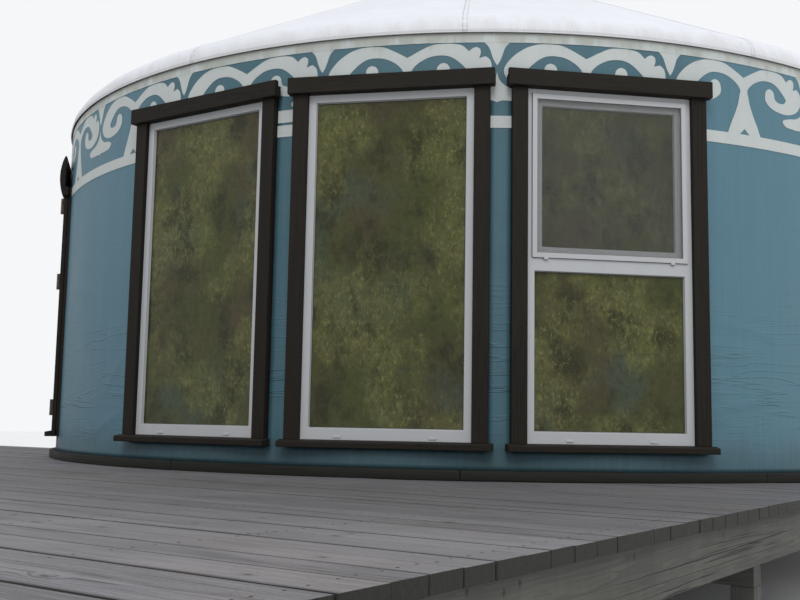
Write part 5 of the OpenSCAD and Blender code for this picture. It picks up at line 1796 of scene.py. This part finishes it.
class YURT_OT_door(bpy.types.Operator):
    """Finishes the door, its jambs, trim, hinges and handle, and adds their screws."""

    bl_idname = "yurt.door"
    bl_label = "Door"

    HINGE_X, HINGES = 0.447, (0.930, 1.770, 2.285)
    LOCK_X, LOCK_HALF, LOCK_FOOT, LOCK_HEAD = -0.3845, 0.013, 1.655, 1.715
    LOCK_FLANKS = ((-0.0035, 0.0004), (0.0436, 0.0475))

    def execute(self, context):
        dress("stained_upright", 0.003, "door_jambs", "door_casings", "door_leaf")
        dress("stained_level", 0.004, "door_rails", "door_head_board", "door_threshold")
        dress("iron", 0.0008, "door_hinge_posts", "door_hinge_straps", segments=1)
        dress("iron", 0.003, "door_handle")
        rows = {"post": ((0.022, 0.036), (-0.035, 0.035)), "strap": ((-0.022, -0.036), (0.0,))}
        for what, (across, heights) in rows.items():
            offs = [(middle + dz, dx) for middle in self.HINGES for dz in heights for dx in across]
            places = [(self.HINGE_X + dx, -CASING_Y - 0.0041, z) for z, dx in offs]
            points, name = turned_points(DOOR_AZ, places), "hinge_%s_screws" % what
            look = {"finished": "nail_steel", "slot": "hinge_iron"}
            look["body"] = "door" if what == "strap" else "yurt"
            set_on_points(name, points, (3.2, 3.2, 0.8), **look, spread=0.04, rings=4, segments=10)
        x0, x1 = self.LOCK_X - self.LOCK_HALF, self.LOCK_X + self.LOCK_HALF
        flanks = [(near - CASING_Y, far - CASING_Y) for near, far in self.LOCK_FLANKS]
        boxes = [box((x0, y0, self.LOCK_FOOT), (x1, y1, self.LOCK_HEAD)) for y0, y1 in flanks]
        plates = add_boxes("lock_plates", DOOR_AZ, boxes, "iron")
        bevel(plates, 0.003)
        settle(plates, "hinge_iron", "door")
        return {"FINISHED"}


OPERATORS = (
    YURT_OT_stage,
    YURT_OT_deck,
    YURT_OT_base,
    YURT_OT_wall,
    YURT_OT_frieze,
    YURT_OT_roof,
    YURT_OT_crown,
    YURT_OT_inside,
    YURT_OT_windows,
    YURT_OT_door,
)


class YURT_PT_pieces(bpy.types.Panel):
    """Lists the yurt's pieces and what a user may change."""

    bl_idname = "YURT_PT_pieces"
    bl_label = "Yurt on a terrace"
    bl_space_type = "VIEW_3D"
    bl_region_type = "UI"
    bl_category = "Yurt"

    def draw(self, context):
        for operator in OPERATORS:
            self.layout.operator(operator.bl_idname)
        for group in (context.scene.yurt_sizes, context.scene.yurt_colours):
            column = self.layout.box()
            for name in group.__annotations__:
                column.prop(group, name)


CLASSES = (YurtSizes, YurtColours, *OPERATORS, YURT_PT_pieces)


def register():
    for each in CLASSES:
        bpy.utils.register_class(each)
    bpy.types.Scene.yurt_sizes = bpy.props.PointerProperty(type=YurtSizes)
    bpy.types.Scene.yurt_colours = bpy.props.PointerProperty(type=YurtColours)


def unregister():
    del bpy.types.Scene.yurt_colours
    del bpy.types.Scene.yurt_sizes
    for each in reversed(CLASSES):
        bpy.utils.unregister_class(each)


def main():
    """Makes the stage and every piece in order."""
    register()
    for operator in OPERATORS:
        module, name = operator.bl_idname.split(".")
        getattr(getattr(bpy.ops, module), name)()
    plain = [[[round(c, 5) for c in corner] for corner in pair] for pair in (CAD_BOX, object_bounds())]
    {"cad": plain[0], "visual": plain[1]}


if __name__ == "__main__":
    main()
